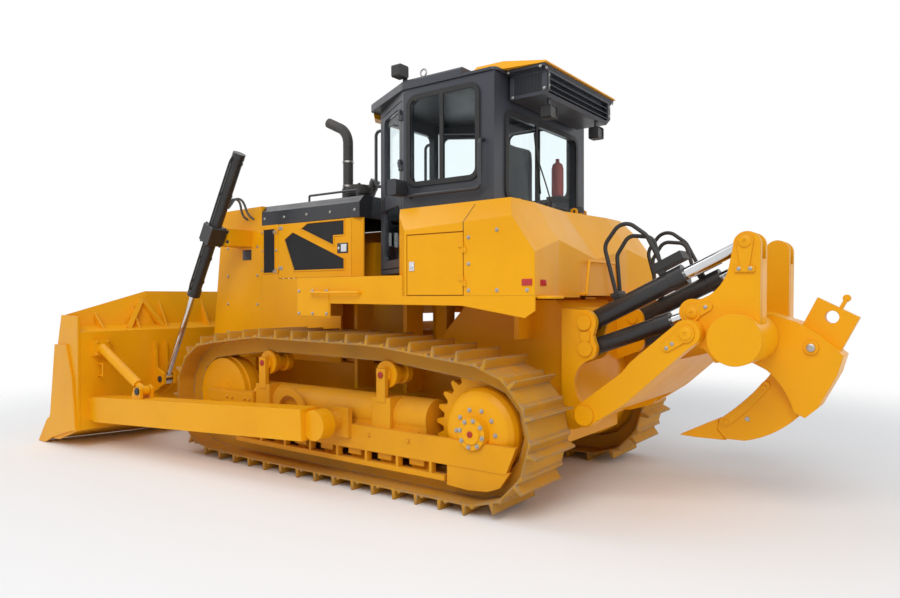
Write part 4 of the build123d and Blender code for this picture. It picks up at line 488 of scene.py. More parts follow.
def addWireMesh(bm, points, pitch, wire, y0, y1):
    for axis in (0, 1):
        low, high = min(p[axis] for p in points), max(p[axis] for p in points)
        at = low + pitch / 2
        while at < high:
            ends = crossings(points, axis, at)
            for start, stop in zip(ends[::2], ends[1::2]):
                box = [[0, min(y0, y1), 0], [0, max(y0, y1), 0]]
                box[0][0 if axis == 0 else 2], box[1][0 if axis == 0 else 2] = at - wire / 2, at + wire / 2
                box[0][2 if axis == 0 else 0], box[1][2 if axis == 0 else 0] = start, stop
                addBlock(bm, box[0], box[1])
            at += pitch


def tube(name, points, radius, look, body):
    curve = bpy.data.curves.new(name, "CURVE")
    curve.dimensions = "3D"
    curve.bevel_depth = radius
    curve.bevel_resolution = 4
    curve.use_fill_caps = True
    curve.resolution_u = 10
    line = curve.splines.new("NURBS")
    line.points.add(len(points) - 1)
    for point, place in zip(line.points, points):
        point.co = (*place, 1)
    line.order_u = 3
    line.use_endpoint_u = True
    curve.materials.append(finish[look])
    piece = show(bpy.data.objects.new(name, curve))
    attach(piece, body)
    return piece


def bent(corners, bend=0.03):
    # route with two points round each corner, so that the runs stay straight
    route = [Vector(corners[0])]
    for before, here, after in zip(corners, corners[1:], corners[2:]):
        before, here, after = Vector(before), Vector(here), Vector(after)
        back, ahead = (before - here).normalized(), (after - here).normalized()
        route += [here + back * bend * 1.6, here + back * bend, here, here + ahead * bend, here + ahead * bend * 1.6]
    return route + [Vector(corners[-1])]


def dished(radius, rim, crown, top, dimple, floor):
    # profile of a cap with a bevelled edge and a dimple in its middle
    return [(0, 0), (radius, 0), (radius, rim), (crown, top), (dimple, top), (dimple, floor), (0, floor)]


def domed(radius, rim, crown, top, peak):
    return [(0, 0), (radius, 0), (radius, rim), (crown, top), (0, peak)]


def hoop(inner, outer, height):
    return [(inner, 0), (outer, 0), (outer, height), (inner, height)]


def addPlate(bm, side, x, y, z, rounding=0.0):
    # block between two distances from the middle plane, on the given side
    near, far = sorted((side * y[0], side * y[1]))
    addBlock(bm, (x[0], near, z[0]), (x[1], far, z[1]), rounding)


def addBackedMesh(bm, outline, side, face, mesh):
    # two dark sheets of painted shade, standing in for the shaded bay behind the mesh, and the wires over them
    for lift in mesh["shadeSheets"]:
        bm.faces.new([bm.verts.new((x, side * (face + lift), z)) for x, z in outline])
    addWireMesh(bm, outline, mesh["pitch"], mesh["wire"], side * (face + mesh["low"]), side * (face + mesh["high"]))


def boltPiece(name, places, size, look, body):
    bm = bmesh.new()
    for at, along in places:
        addBolt(bm, at, along, size)
    return finished(name, bm, look, body)


def crossed(xs, zs):
    return [(x, z) for x in xs for z in zs]


def around(centre, radius, count, start=0.0):
    angles = [start + 2 * math.pi * i / count for i in range(count)]
    return [(centre[0] + radius * math.cos(angle), centre[1] + radius * math.sin(angle)) for angle in angles]


def addCap(bm, side, at, shape, count=24):
    # turned cap that looks out to the side
    addTurned(bm, (at[0], side * at[1], at[2]), (0, side, 0), shape, count)


def outward(side, rows):
    # bolts that look out to the side: each row is a face and its places
    return [((x, side * (face + seatGap), z), (0, side, 0)) for face, places in rows for x, z in places]


sides = (("left", 1), ("right", -1))
seatGap = 0.0003            # between an added bolt or ring and the face that carries it
# lifts of the two dark sheets of painted shade behind each wire mesh
shadeSheets = (0.0006, 0.0009)

# engine bay: meshed doors, their frames, latches and hinge leaves
engineDoor = {
    "face": 0.600, "recess": 0.596, "frame": 0.016, "proud": 0.006, "inset": 0.001,
    "mesh": {"shadeSheets": shadeSheets, "pitch": 0.013, "wire": 0.0026, "low": 0.001, "high": 0.0036},
    "windows": ([(1.020, 2.195), (0.935, 2.240), (0.440, 2.240), (0.440, 2.110), (0.580, 2.110), (0.580, 2.020)],
                [(1.150, 2.165), (1.270, 2.100), (1.130, 1.790), (0.440, 1.790), (0.440, 1.880)]),
}
latch = {"x": (0.385, 0.525), "z": (1.935, 2.030), "plate": 0.004, "margin": 0.012, "paddle": (0.003, 0.012),
         "paddleLength": 0.085, "lockAt": 0.024, "lock": dished(0.013, 0.006, 0.011, 0.008, 0.005, 0.005)}
hinge = {"axis": 1.3795, "z": (1.800, 2.202), "near": 0.012, "far": 0.075, "long": 0.034, "short": 0.002,
         "thick": 0.004, "boltAt": 0.014, "bolt": 0.007}
for word, side in sides:
    door = "engine_door_" + word
    face = engineDoor["face"]
    wires, rims = bmesh.new(), bmesh.new()
    for outline in engineDoor["windows"]:
        inner = offsetLoop(outline, -engineDoor["inset"])
        addBackedMesh(wires, inner, side, engineDoor["recess"], engineDoor["mesh"])
        addRing(rims, outline, engineDoor["frame"], side * (face + seatGap), side * (face + engineDoor["proud"]))
    finished("doorMesh_" + word, wires, "meshBlack", door, smooth=False)
    finished("doorRims_" + word, rims, "bodyPaint", door, smooth=False)
    plate, paddle = bmesh.new(), bmesh.new()
    (x0, x1), (z0, z1) = latch["x"], latch["z"]
    addPlate(plate, side, (x0, x1), (face, face + latch["plate"]), (z0, z1), 0.0015)
    addPlate(paddle, side, (x0 + latch["margin"], x0 + latch["paddleLength"]),
             [face + y for y in latch["paddle"]], (z0 + latch["margin"], z1 - latch["margin"]), 0.003)
    addCap(paddle, side, (x1 - latch["lockAt"], face + latch["plate"], (z0 + z1) / 2), latch["lock"])
    finished("latchPlate_" + word, plate, "hoodBlack", door)
    finished("latchPaddle_" + word, paddle, "chromeRod", door)
    for z in hinge["z"]:
        axis, near, far = hinge["axis"], hinge["near"], hinge["far"]
        for owner, x0, x1, low, high in ((door, axis - far, axis - near, z - hinge["short"], z + hinge["long"]),
                                         ("machine", axis + near, axis + far, z - hinge["long"], z + hinge["short"])):
            leaf = bmesh.new()
            addPlate(leaf, side, (x0, x1), (face, face + hinge["thick"]), (low, high), 0.001)
            for x in (x0 + hinge["boltAt"], x1 - hinge["boltAt"]):
                addBolt(leaf, (x, side * (face + hinge["thick"]), (low + high) / 2), (0, side, 0), hinge["bolt"])
            finished("hingeLeaf_" + word + "_" + owner + "_" + str(round(z * 1000)), leaf, "zincBolt", owner)
print("engine doors fitted")

# bolted mesh panel ahead of the doors, hood bolts and handrail
frontPanel = {
    "face": 0.600, "outline": [(1.425, 1.775), (1.595, 1.775), (1.595, 2.215), (1.425, 2.215)], "frame": 0.014,
    "proud": 0.007, "mesh": {"shadeSheets": shadeSheets, "pitch": 0.012, "wire": 0.0028, "low": 0.001, "high": 0.004},
}
hoodBolts = {"size": 0.011, "rows": [(0.600, crossed((1.404, 1.616), (1.80, 2.0, 2.19)) +
                                      crossed((0.30, 0.62, 0.95, 1.28, 1.58), (2.33,)) +
                                      crossed((1.70, 2.20), (1.15, 1.45, 1.75, 2.05)))]}
handrail = {"x": (1.02, 0.36), "y": 0.50, "z": (2.464, 2.530), "bend": 0.026, "radius": 0.011}
for word, side in sides:
    face = frontPanel["face"]
    screen, border = bmesh.new(), bmesh.new()
    addBackedMesh(screen, frontPanel["outline"], side, face, frontPanel["mesh"])
    addRing(border, frontPanel["outline"], frontPanel["frame"], side * (face + seatGap),
            side * (face + frontPanel["proud"]))
    finished("frontScreen_" + word, screen, "meshBlack", "machine", smooth=False)
    finished("frontScreenFrame_" + word, border, "bodyPaint", "machine", smooth=False)
    boltPiece("hoodBolts_" + word, outward(side, hoodBolts["rows"]), hoodBolts["size"], "zincBolt", "machine")
(x0, x1), y, (z0, z1) = handrail["x"], handrail["y"], handrail["z"]
tube("hoodHandrail", bent([(x0, y, z0), (x0, y, z1), (x1, y, z1), (x1, y, z0)], handrail["bend"]),
     handrail["radius"], "hoodBlack", "machine")

# small vent in the guard, fins and cap nut of the precleaner, clamps of the exhaust
vent = {"x": (1.80, 1.94), "y": (0.6003, 0.606), "z": (1.915, 2.020), "slatX": (1.815, 1.925),
        "slatY": (0.605, 0.611), "slats": (1.930, 1.949, 1.968, 1.987, 2.006), "down": 0.005, "up": 0.003}
plate = bmesh.new()
addPlate(plate, 1, vent["x"], vent["y"], vent["z"], 0.002)
for z in vent["slats"]:
    addPlate(plate, 1, vent["slatX"], vent["slatY"], (z - vent["down"], z + vent["up"]), 0.001)
finished("guardVent", plate, "hoodBlack", "machine")
precleaner = {"x": 0.53, "y": 0.30, "top": 2.6235, "nut": domed(0.016, 0.008, 0.010, 0.014, 0.015), "fins": 18,
              "low": (0.1305, -0.006, 2.530), "high": (0.1345, 0.006, 2.574)}
fins = bmesh.new()
addTurned(fins, (precleaner["x"], precleaner["y"], precleaner["top"]), (0, 0, 1), precleaner["nut"], 6)
for i in range(precleaner["fins"]):
    turn = Matrix.Rotation(2 * math.pi * i / precleaner["fins"], 4, "Z")
    addBlock(fins, precleaner["low"], precleaner["high"], 0.0,
             Matrix.Translation((precleaner["x"], precleaner["y"], 0)) @ turn)
finished("precleanerFins", fins, "sootBlack", "machine")
exhaust = {"x": 0.73, "y": 0.25, "clamps": (2.62, 2.86), "hoop": hoop(0.0503, 0.056, 0.018),
           "ear": ((-0.006, 0.054, 0.001), (0.006, 0.072, 0.017))}
clamp = bmesh.new()
for z in exhaust["clamps"]:
    at = Vector((exhaust["x"], exhaust["y"], z))
    addTurned(clamp, at, (0, 0, 1), exhaust["hoop"], 40)
    addBlock(clamp, at + Vector(exhaust["ear"][0]), at + Vector(exhaust["ear"][1]), 0.002)
finished("exhaustClamps", clamp, "zincBolt", "machine")
print("hood fitted")

# rear tank: door latches, bolts, seams over the bevel, reflectors and the rail behind
tank = {
    "face": 1.150, "bolt": 0.011,
    "rows": [(1.150, ((-1.36, 1.57), (-1.36, 1.76), (-1.36, 1.95), (-1.60, 1.57), (-1.84, 1.57), (-1.60, 1.99))),
             (1.156, crossed((0.085, 0.255, 0.425), (1.385, 1.575)))],
}
tankLatch = {"x": (-0.862, -0.812), "z": (1.720, 1.790), "proud": 0.006, "lockAt": (-0.837, 1.755),
             "lock": [(0, 0), (0.015, 0), (0.015, 0.005), (0, 0.006)]}
tankSeam = {"x": -1.314, "width": 0.006, "lift": 0.0007, "line": ((1.150, 1.998), (1.150, 2.0624), (0.996, 2.2078))}
reflector = {"x": (-1.880, -1.800), "z": (1.600, 1.645), "proud": 0.007, "rear": (-1.878, 1.02, 1.62), "turn": 0.162,
             "low": (-0.010, -0.045, -0.022), "high": (0.003, 0.045, 0.022), "rounding": 0.003}
rail = {"bend": 0.02, "radius": 0.011, "route": [
    (-1.79, 0.29, 1.545), (-1.868, 0.29, 1.545), (-1.868, 0.24, 1.800), (-1.868, -0.28, 1.800),
    (-1.868, -0.33, 1.545), (-1.79, -0.33, 1.545)]}
for word, side in sides:
    face = tank["face"]
    plate = bmesh.new()
    addPlate(plate, side, tankLatch["x"], (face, face + tankLatch["proud"]), tankLatch["z"], 0.002)
    x, z = tankLatch["lockAt"]
    addCap(plate, side, (x, face + tankLatch["proud"], z), tankLatch["lock"])
    finished("tankLatch_" + word, plate, "chromeRod", "tank_door_" + word)
    boltPiece("skirtBolts_" + word, outward(side, tank["rows"]), tank["bolt"], "zincBolt", "machine")
    seam = bmesh.new()
    half, lift = Vector((tankSeam["width"] / 2, 0, 0)), Vector((0, side * tankSeam["lift"], tankSeam["lift"]))
    for ends in zip(tankSeam["line"], tankSeam["line"][1:]):
        low, high = (Vector((tankSeam["x"], side * y, z)) + lift for y, z in ends)
        seam.faces.new([seam.verts.new(corner) for corner in (low - half, low + half, high + half, high - half)])
    finished("tankSeam_" + word, seam, "seal", "machine", smooth=False)
    red = bmesh.new()
    addPlate(red, side, reflector["x"], (face, face + reflector["proud"]), reflector["z"], reflector["rounding"])
    x, y, z = reflector["rear"]
    addBlock(red, reflector["low"], reflector["high"], reflector["rounding"],
             Matrix.Translation((x, side * y, z)) @ Matrix.Rotation(-side * reflector["turn"], 4, "Z"))
    finished("reflectors_" + word, red, "reflector", "machine")
tube("rearRail", bent(rail["route"], rail["bend"]), rail["radius"], "bodyPaint", "machine")
print("tank fitted")

# cab: wiper, antenna, lifting ring, bolts and screens of the air box
wiper = {"low": (-1.392, -0.10, 2.262), "high": (-1.3545, 0.02, 2.322), "hub": (-1.392, -0.03, 2.292),
         "hubShape": domed(0.016, 0.008, 0.010, 0.013, 0.013), "armRadius": 0.006,
         "arm": [(-1.400, -0.03, 2.292), (-1.404, 0.04, 2.42), (-1.378, 0.166, 2.65)],
         "bladeAt": (0, 0.10, 2.64), "lean": -0.20, "bladeLow": (-1.376, 0.06, -0.25),
         "bladeHigh": (-1.360, 0.066, 0.25)}
motor, blade = bmesh.new(), bmesh.new()
addBlock(motor, wiper["low"], wiper["high"], 0.008)
addTurned(motor, wiper["hub"], (-1, 0, 0), wiper["hubShape"])
finished("wiperMotor", motor, "plastic", "machine")
tube("wiperArm", wiper["arm"], wiper["armRadius"], "plastic", "machine")
addBlock(blade, wiper["bladeLow"], wiper["bladeHigh"], 0.002,
         Matrix.Translation(wiper["bladeAt"]) @ Matrix.Rotation(wiper["lean"], 4, "X"))
finished("wiperBlade", blade, "seal", "machine")
antenna = {"x": -1.6915, "y": 0.577, "z": (3.02, 3.12, 3.23), "radius": 0.005}
tube("antenna", [(antenna["x"], antenna["y"], z) for z in antenna["z"]], antenna["radius"], "plastic", "machine")
eye = {"x": -0.62, "y": 0.735, "z": 3.375, "radius": 0.030, "wire": 0.007, "steps": 24, "roof": 3.3305,
       "foot": domed(0.020, 0.006, 0.012, 0.010, 0.012)}
ring = bmesh.new()
turns = [Vector((x, eye["y"], z)) for x, z in around((eye["x"], eye["z"]), eye["radius"], eye["steps"])]
for start, stop in zip(turns, turns[1:] + turns[:1]):
    run = (stop - start).length
    addTurned(ring, start, stop - start, [(0, 0), (eye["wire"], 0), (eye["wire"], run), (0, run)], 10)
addTurned(ring, (eye["x"], eye["y"], eye["roof"]), (0, 0, 1), eye["foot"])
finished("liftingRing", ring, "zincBolt", "machine")
airBox = {
    "bolt": 0.009, "rearBolts": ((-1.6873, (-0.557, 0.557), (3.12, 3.20)), (-1.6933, (-0.61, 0.61), (3.24,))),
    "sideBolts": [(0.640, ((-1.38, 3.25), (-1.66, 3.25))), (0.585, ((-1.385, 3.07), (-1.662, 3.10)))],
    "screen": [(-1.639, 3.083), (-1.401, 3.083), (-1.401, 3.221), (-1.639, 3.221)], "pitch": 0.012, "wire": 0.003,
    "screenY": (0.5793, 0.5823),
}
rows = [((x, y, z), (-1, 0, 0)) for x, ys, zs in airBox["rearBolts"] for y in ys for z in zs]
for word, side in sides:
    rows += outward(side, airBox["sideBolts"])
    screen = bmesh.new()
    addWireMesh(screen, airBox["screen"], airBox["pitch"], airBox["wire"], *(side * y for y in airBox["screenY"]))
    finished("airScreen_" + word, screen, "meshBlack", "machine", smooth=False)
boltPiece("airBoxBolts", rows, airBox["bolt"], "zincBolt", "machine")

# cab doors: handles and hinge leaves on the slanting facet; extinguisher behind the seat
cabDoor = {
    "corner": (-0.440, 0.780), "run": (0.596, -0.380), "handleAt": 0.600, "handleZ": 2.36,
    "handle": (((-0.030, 0.0, -0.075), (0.030, 0.010, 0.075), 0.004),
               ((-0.012, 0.009, -0.055), (0.012, 0.030, 0.055), 0.006)),
    "hingeAt": 0.105, "hingeZ": (2.025, 2.665, 3.085), "leafLow": (-0.018, 0.0005, -0.030),
    "leafHigh": (0.045, 0.006, 0.030), "boltX": (0.0, 0.028), "bolt": 0.008,
}
angle = math.atan2(cabDoor["run"][1], cabDoor["run"][0])
for word, side in sides:
    along = Vector((math.cos(angle), side * math.sin(angle), 0))
    out = Vector((-math.sin(angle), side * math.cos(angle), 0))
    corner = Vector((cabDoor["corner"][0], side * cabDoor["corner"][1], 0))
    facet = Matrix((along, out, (0, 0, 1))).transposed().to_4x4()
    grip, leaves = bmesh.new(), bmesh.new()
    at = corner + along * cabDoor["handleAt"] + out * seatGap + Vector((0, 0, cabDoor["handleZ"]))
    for low, high, rounding in cabDoor["handle"]:
        addBlock(grip, low, high, rounding, Matrix.Translation(at) @ facet)
    finished("doorHandle_" + word, grip, "plastic", "cab_door_" + word)
    for z in cabDoor["hingeZ"]:
        place = Matrix.Translation(corner + along * cabDoor["hingeAt"] + Vector((0, 0, z))) @ facet
        addBlock(leaves, cabDoor["leafLow"], cabDoor["leafHigh"], 0.001, place)
        for x in cabDoor["boltX"]:
            addBolt(leaves, place @ Vector((x, cabDoor["leafHigh"][1], 0.0)), out, cabDoor["bolt"])
    finished("cabHingeLeaves_" + word, leaves, "hoodBlack", "cab_door_" + word)
extinguisher = {"foot": (-1.18, -0.55, 2.45), "shelfLow": (-1.26, -0.7197, 2.425), "shelfHigh": (-1.10, -0.48, 2.449),
                "shape": [(0, 0), (0.050, 0.004), (0.055, 0.02), (0.055, 0.26), (0.045, 0.30), (0.018, 0.32),
                          (0.018, 0.35), (0, 0.35)]}
bottle, shelf = bmesh.new(), bmesh.new()
addTurned(bottle, extinguisher["foot"], (0, 0, 1), extinguisher["shape"], 28)
finished("extinguisher", bottle, "redPlug", "machine")
addBlock(shelf, extinguisher["shelfLow"], extinguisher["shelfHigh"], 0.003)
finished("extinguisherShelf", shelf, "plastic", "machine")
print("cab fitted")

# seat: crowned cushion and backrest with side bolsters
seat = {"cushion": ((-1.075, -0.255, 2.086), (-0.565, 0.255, 2.228)), "cushionSeams": (-0.3, 0.3),
        "back": ((-1.118, -0.245, 2.135), (-0.995, 0.245, 2.848)), "backSeams": (-0.35, 0.05, 0.45), "fill": 0.8}
pad = {"steps": 28, "rim": 6, "round": 0.35, "pull": 0.03, "swell": 0.76, "bolster": 0.18, "bolsterFrom": 0.62,
       "seam": 0.10, "seamWidth": 0.0012}


def addPad(bm, low, high, thin, seams):
    # soft closed form: a fine grid on both faces, drawn in at its rim, with channels sewn across its front
    steps = pad["steps"]
    middle, half = (Vector(high) + Vector(low)) / 2, (Vector(high) - Vector(low)) / 2
    first, second = [axis for axis in range(3) if axis != thin]
    grid = {}
    for face in (-1, 1):
        for i in range(steps + 1):
            for j in range(steps + 1):
                u, v = i / steps * 2 - 1, j / steps * 2 - 1
                sideways, lengthways = (u, v) if first == 1 else (v, u)
                pull = 1 - pad["pull"] * (1 - abs(u * v)) * max(abs(u), abs(v)) ** 8
                swell = pad["swell"] + pad["bolster"] * max(0.0, abs(sideways) - pad["bolsterFrom"]) / \
                    (1 - pad["bolsterFrom"])
                if face == 1:
                    swell -= pad["seam"] * sum(math.exp(-(lengthways - at) ** 2 / pad["seamWidth"]) for at in seams)
                rim = max((1 - u ** pad["rim"]) * (1 - v ** pad["rim"]), 0.0)
                place = middle.copy()
                place[first] += u * pull * half[first]
                place[second] += v * pull * half[second]
                place[thin] += face * half[thin] * min(swell * rim ** pad["round"], 1.0)
                grid[face, i, j] = bm.verts.new(place)
    for face in (-1, 1):
        for i in range(steps):
            for j in range(steps):
                bm.faces.new((grid[face, i, j], grid[face, i + 1, j], grid[face, i + 1, j + 1], grid[face, i, j + 1]))


pads = bmesh.new()
addPad(pads, *seat["cushion"], 2, seat["cushionSeams"])
addPad(pads, *seat["back"], 0, seat["backSeams"])
operatorSeat = finished("operatorSeat", pads, "cloth", "machine")
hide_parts("seat")
console = {
    "armX": (-1.00, -0.66), "armY": (0.290, 0.380), "armZ": (2.33, 2.37), "leverAt": (-0.70, 0.335, 2.368),
    "lever": [(0, 0), (0.020, 0), (0.016, 0.05), (0.012, 0.06), (0.024, 0.09), (0.022, 0.13), (0, 0.14)],
    "postX": (-0.98, -0.92), "postY": (0.29, 0.33), "postZ": (2.10, 2.34),
    "barLow": (-0.975, -0.31, 2.0995), "barHigh": (-0.925, 0.31, 2.118),
}
controls = bmesh.new()
for side in (1, -1):
    addPlate(controls, side, console["armX"], console["armY"], console["armZ"], 0.012)
    x, y, z = console["leverAt"]
    addTurned(controls, (x, side * y, z), (0.1, 0, 1), console["lever"], 16)
    addPlate(controls, side, console["postX"], console["postY"], console["postZ"], 0.006)
addBlock(controls, console["barLow"], console["barHigh"], 0.002)
finished("seatConsoles", controls, "plastic", "machine")
print("seat made")

# running gear: bolts of the drive cover and the track frame, red plugs, arch guard and trunnion cap
sprocket, idler = (-1.440, 0.565), (1.590, 0.586)
driveBolts = {"size": 0.013, "rows": [
    (1.180, [(x, z) for x, z in around(sprocket, 0.165, 10) if z > 0.5]), (1.240, around(sprocket, 0.095, 8, 0.2))]}
frameBolts = {"size": 0.014, "rows": [
    (1.140, [(x, z) for x, z in around(idler, 0.048, 6) if abs(z - idler[1]) > 0.01]),
    (1.205, crossed((1.05, 1.12, 1.30, 1.38), (0.59,))), (1.215, crossed((-0.85, -0.45, 0.35, 0.75, 1.10), (0.44,)))]}
rollerPlug, hubPlug = domed(0.026, 0.006, 0.020, 0.010, 0.011), domed(0.022, 0.006, 0.016, 0.009, 0.009)
redPlugs = (((-0.551, 1.1903, 0.915), rollerPlug), ((0.884, 1.1903, 0.931), rollerPlug),
            ((sprocket[0], 1.2523, sprocket[1]), hubPlug))
arch = {"x": 0.50, "z": 0.545, "inner": 0.13, "outer": 0.20, "rise": 0.95, "y": (1.190, 1.214), "steps": 14,
        "feet": (0.335, 0.665), "footHalf": 0.04, "footY": (1.13, 1.214), "footZ": (0.5053, 0.555)}
trunnion = {"at": (-0.120, 1.4403, 0.520), "rows": [(1.482, around((-0.120, 0.520), 0.048, 6))], "bolt": 0.007,
            "shape": [(0, 0), (0.070, 0), (0.070, 0.030), (0.060, 0.042), (0.022, 0.042), (0.018, 0.050), (0, 0.050)]}
for word, side in sides:
    boltPiece("driveCoverBolts_" + word, outward(side, driveBolts["rows"]), driveBolts["size"], "zincBolt", "machine")
    boltPiece("trackFrameBolts_" + word, outward(side, frameBolts["rows"]), frameBolts["size"], "framePaint",
              "machine")
    plugs = bmesh.new()
    for at, shape in redPlugs:
        addCap(plugs, side, at, shape)
    finished("redPlugs_" + word, plugs, "redPlug", "machine")
    guard = bmesh.new()
    near, far = arch["y"]
    hoops = []
    for i in range(arch["steps"] + 1):
        angle = math.pi * i / arch["steps"]
        hoops.append([guard.verts.new((arch["x"] + reach * math.cos(angle), side * y,
                                       arch["z"] + arch["rise"] * reach * math.sin(angle)))
                      for reach, y in ((arch["inner"], near), (arch["outer"], near), (arch["outer"], far),
                                       (arch["inner"], far))])
    joinLoops(guard, hoops)
    guard.faces.new(hoops[0])
    guard.faces.new(hoops[-1])
    for x in arch["feet"]:
        addPlate(guard, side, (x - arch["footHalf"], x + arch["footHalf"]), arch["footY"], arch["footZ"], 0.004)
    finished("archGuard_" + word, guard, "framePaint", "machine")
    cap = bmesh.new()
    addCap(cap, side, trunnion["at"], trunnion["shape"], 36)
    for at, along in outward(side, trunnion["rows"]):
        addBolt(cap, at, along, trunnion["bolt"])
    finished("trunnionCap_" + word, cap, "bodyPaint", "machine")
print("running gear fitted")

# blade: V braces, bolts of the sockets, handle and pins
brace = {"top": (3.118, 1.07, 1.500), "feet": ((2.985, 1.29, 1.185), (2.985, 0.88, 1.185)), "radius": 0.034}
socket = {"size": 0.013, "rows": ((2.8397, (1.585, 1.695), (0.95, 1.07)), (2.8097, (1.60, 1.73), (0.31, 0.49)))}
handle = {"x": (2.899, 2.80), "y": 1.66, "z": (0.73, 0.85), "bend": 0.018, "radius": 0.009}
bladePins = (((2.130, 1.6705, 0.625), dished(0.036, 0.012, 0.028, 0.016, 0.008, 0.011)),
             ((2.770, 1.0555, 0.640), domed(0.034, 0.010, 0.026, 0.014, 0.014)))
for word, side in sides:
    mirror = Vector((1, side, 1))
    struts = bmesh.new()
    for foot in brace["feet"]:
        low, high = Vector(foot) * mirror, Vector(brace["top"]) * mirror
        run = (high - low).length
        addTurned(struts, low, high - low, [(0, 0), (brace["radius"], 0), (brace["radius"], run), (0, run)], 4)
    finished("bladeBraces_" + word, struts, "bodyPaint", "blade")
    rows = [((x, side * y, z), (-1, 0, 0)) for x, ys, zs in socket["rows"] for y in ys for z in zs]
    boltPiece("socketBolts_" + word, rows, socket["size"], "bodyPaint", "blade")
    (x0, x1), y, (z0, z1) = handle["x"], side * handle["y"], handle["z"]
    tube("bladeHandle_" + word, bent([(x0, y, z0), (x1, y, z0), (x1, y, z1), (x0, y, z1)], handle["bend"]),
         handle["radius"], "bodyPaint", "blade")
    pins = bmesh.new()
    for at, shape in bladePins:
        addCap(pins, side, at, shape, 28)
    finished("bladePins_" + word, pins, "hoodBlack", "blade")
print("blade fitted")

# lift cylinders: clamp bands, pipe, yoke block with its bolts, gland bolts and hoses
lift = {"x": 1.920, "y": 0.980, "z": 2.160, "eye": (2.770, 0.640)}
band = {"at": (-0.80, -0.45, 0.25, 0.52), "hoop": hoop(0.0583, 0.064, 0.022), "lugAt": 0.068,
        "lugLow": (-0.012, -0.010, 0.001), "lugHigh": (0.012, 0.010, 0.021)}
pipe = {"radius": 0.009, "route": ((-0.84, 0.060), (-0.82, 0.076), (-0.70, 0.078), (0.50, 0.078), (0.61, 0.078),
                                   (0.64, 0.062))}
yoke = {"half": (0.088, 0.080, 0.100), "bore": 0.0575, "bevel": 0.012, "boltX": 0.070, "boltY": 0.062, "bolt": 0.010,
        "rows": [(0.870, crossed((1.83, 2.00), (2.09, 2.19)))], "sideBolt": 0.014}
gland = {"at": 0.7065, "circle": 0.048, "count": 6, "size": 0.006}
liftHose = {"shifts": (-0.02, 0.03), "radius": 0.012, "guardX": 1.80, "guardY": 0.600, "guardZ": 2.34, "topX": 1.72,
            "topY": (0.78, 0.88), "topZ": 2.52, "above": 0.30, "inside": 0.060, "rise": (0.07, 0.02), "fall": 0.03}
downward = Vector((lift["eye"][0] - lift["x"], 0, lift["eye"][1] - lift["z"])).normalized()
across = Vector((downward.z, 0, -downward.x))
for word, side in sides:
    centre = Vector((lift["x"], side * lift["y"], lift["z"]))
    bands, block = bmesh.new(), bmesh.new()
    for at in band["at"]:
        addTurned(bands, centre + downward * at, downward, band["hoop"], 40)
        addBlock(bands, band["lugLow"], band["lugHigh"], 0.002,
                 facing(centre + downward * at + Vector((0, side * band["lugAt"], 0)), downward))
    finished("liftBands_" + word, bands, "cylinderBlack", "blade_lift_barrels")
    route = [centre + downward * at + Vector((0, side * out, 0)) for at, out in pipe["route"]]
    tube("liftPipe_" + word, route, pipe["radius"], "cylinderBlack", "blade_lift_barrels")
    place = facing(centre, downward)
    addSleeve(block, yoke["half"], yoke["bore"], yoke["bevel"], place)
    for x in (-yoke["boltX"], yoke["boltX"]):
        for y in (-yoke["boltY"], yoke["boltY"]):
            for way in (1, -1):
                addBolt(block, place @ Vector((x, y, way * yoke["half"][2])), downward * way, yoke["bolt"])
    finished("liftYoke_" + word, block, "cylinderBlack", "blade_lift_barrels")
    rows = [(centre + downward * gland["at"] + Vector((0, y, 0)) + across * x, downward)
            for x, y in around((0, 0), gland["circle"], gland["count"])]
    boltPiece("liftGlandBolts_" + word, rows, gland["size"], "zincBolt", "blade_lift_barrels")
    boltPiece("yokeBolts_" + word, outward(side, yoke["rows"]), yoke["sideBolt"], "hoodBlack", "machine")
    for number, shift in enumerate(liftHose["shifts"]):
        start = Vector((liftHose["guardX"] + shift * 2, side * liftHose["guardY"], liftHose["guardZ"]))
        stop = centre - downward * liftHose["above"] + Vector((shift, -side * liftHose["inside"], 0))
        over = [Vector((liftHose["topX"] + shift, side * y, liftHose["topZ"])) for y in liftHose["topY"]]
        rise, fall = liftHose["rise"], liftHose["fall"]
        leave, arrive = start + Vector((0, side * rise[0], rise[1])), stop + Vector((0, -side * fall, fall))
        tube("liftHose_" + word + "_" + str(number + 1), [start, leave, *over, arrive, stop], liftHose["radius"],
             "greyHose", "blade_lift_barrels")
print("lift cylinders fitted")

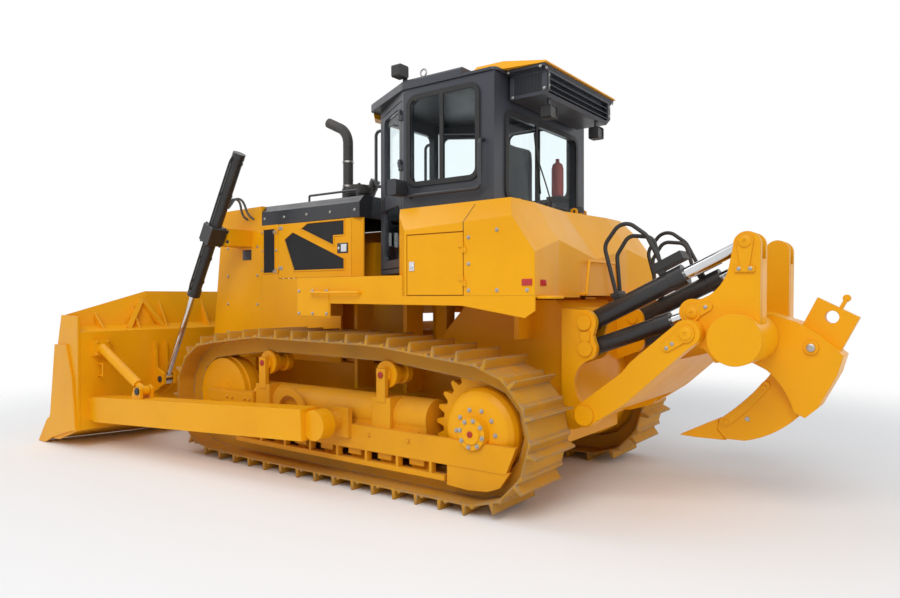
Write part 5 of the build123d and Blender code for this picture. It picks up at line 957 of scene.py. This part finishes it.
# ripper: pin caps, keeper and tower bolts, foot discs, washers of the shank and tip pins
headCap, towerCap = dished(0.044, 0.004, 0.036, 0.008, 0.012, 0.004), dished(0.040, 0.005, 0.033, 0.009, 0.010, 0.004)
ripper = {
    "head": (-2.750, 0.6955, 1.283), "towers": ((-2.750, 0.559, 1.415), (-3.083, 0.5575, 1.876)), "bolt": 0.010,
    "keeperRows": [(0.6932, ((-2.665, 1.214), (-2.628, 1.184)))],
    "towerRows": [(0.561, ((-3.118, 1.701), (-3.048, 1.701))), (0.557, ((-2.840, 1.455),))],
}
foot = {"at": (-2.035, 0.6815, 0.680), "shape": dished(0.062, 0.006, 0.052, 0.010, 0.014, 0.005), "bolt": 0.006,
        "rows": [(0.6912, around((-2.035, 0.680), 0.038, 4, 0.4))]}
washers = (((-3.398, 0.1583, 1.188), dished(0.026, 0.005, 0.018, 0.008, 0.007, 0.005), 28),
           ((-2.98, 0.0383, 0.66), [(0, 0), (0.016, 0), (0.016, 0.004), (0, 0.005)], 20))
for word, side in sides:
    caps, ends, disc = bmesh.new(), bmesh.new(), bmesh.new()
    addCap(caps, side, ripper["head"], headCap, 32)
    finished("ripperPinCaps_" + word, caps, "bodyPaint", "ripper_pins")
    boltPiece("keeperBolts_" + word, outward(side, ripper["keeperRows"]), ripper["bolt"], "zincBolt", "ripper_pins")
    for at in ripper["towers"]:
        addCap(ends, side, at, towerCap, 32)
    finished("towerPinCaps_" + word, ends, "bodyPaint", "ripper_beam")
    boltPiece("towerBolts_" + word, outward(side, ripper["towerRows"]), ripper["bolt"], "zincBolt", "ripper_beam")
    addCap(disc, side, foot["at"], foot["shape"], 36)
    for at, along in outward(side, foot["rows"]):
        addBolt(disc, at, along, foot["bolt"])
    finished("footPinCaps_" + word, disc, "bodyPaint", "ripper_arm")
washer = bmesh.new()
for side in (1, -1):
    for at, shape, count in washers:
        addCap(washer, side, at, shape, count)
finished("holderPin", washer, "zincBolt", "ripper_beam")
print("ripper fitted")
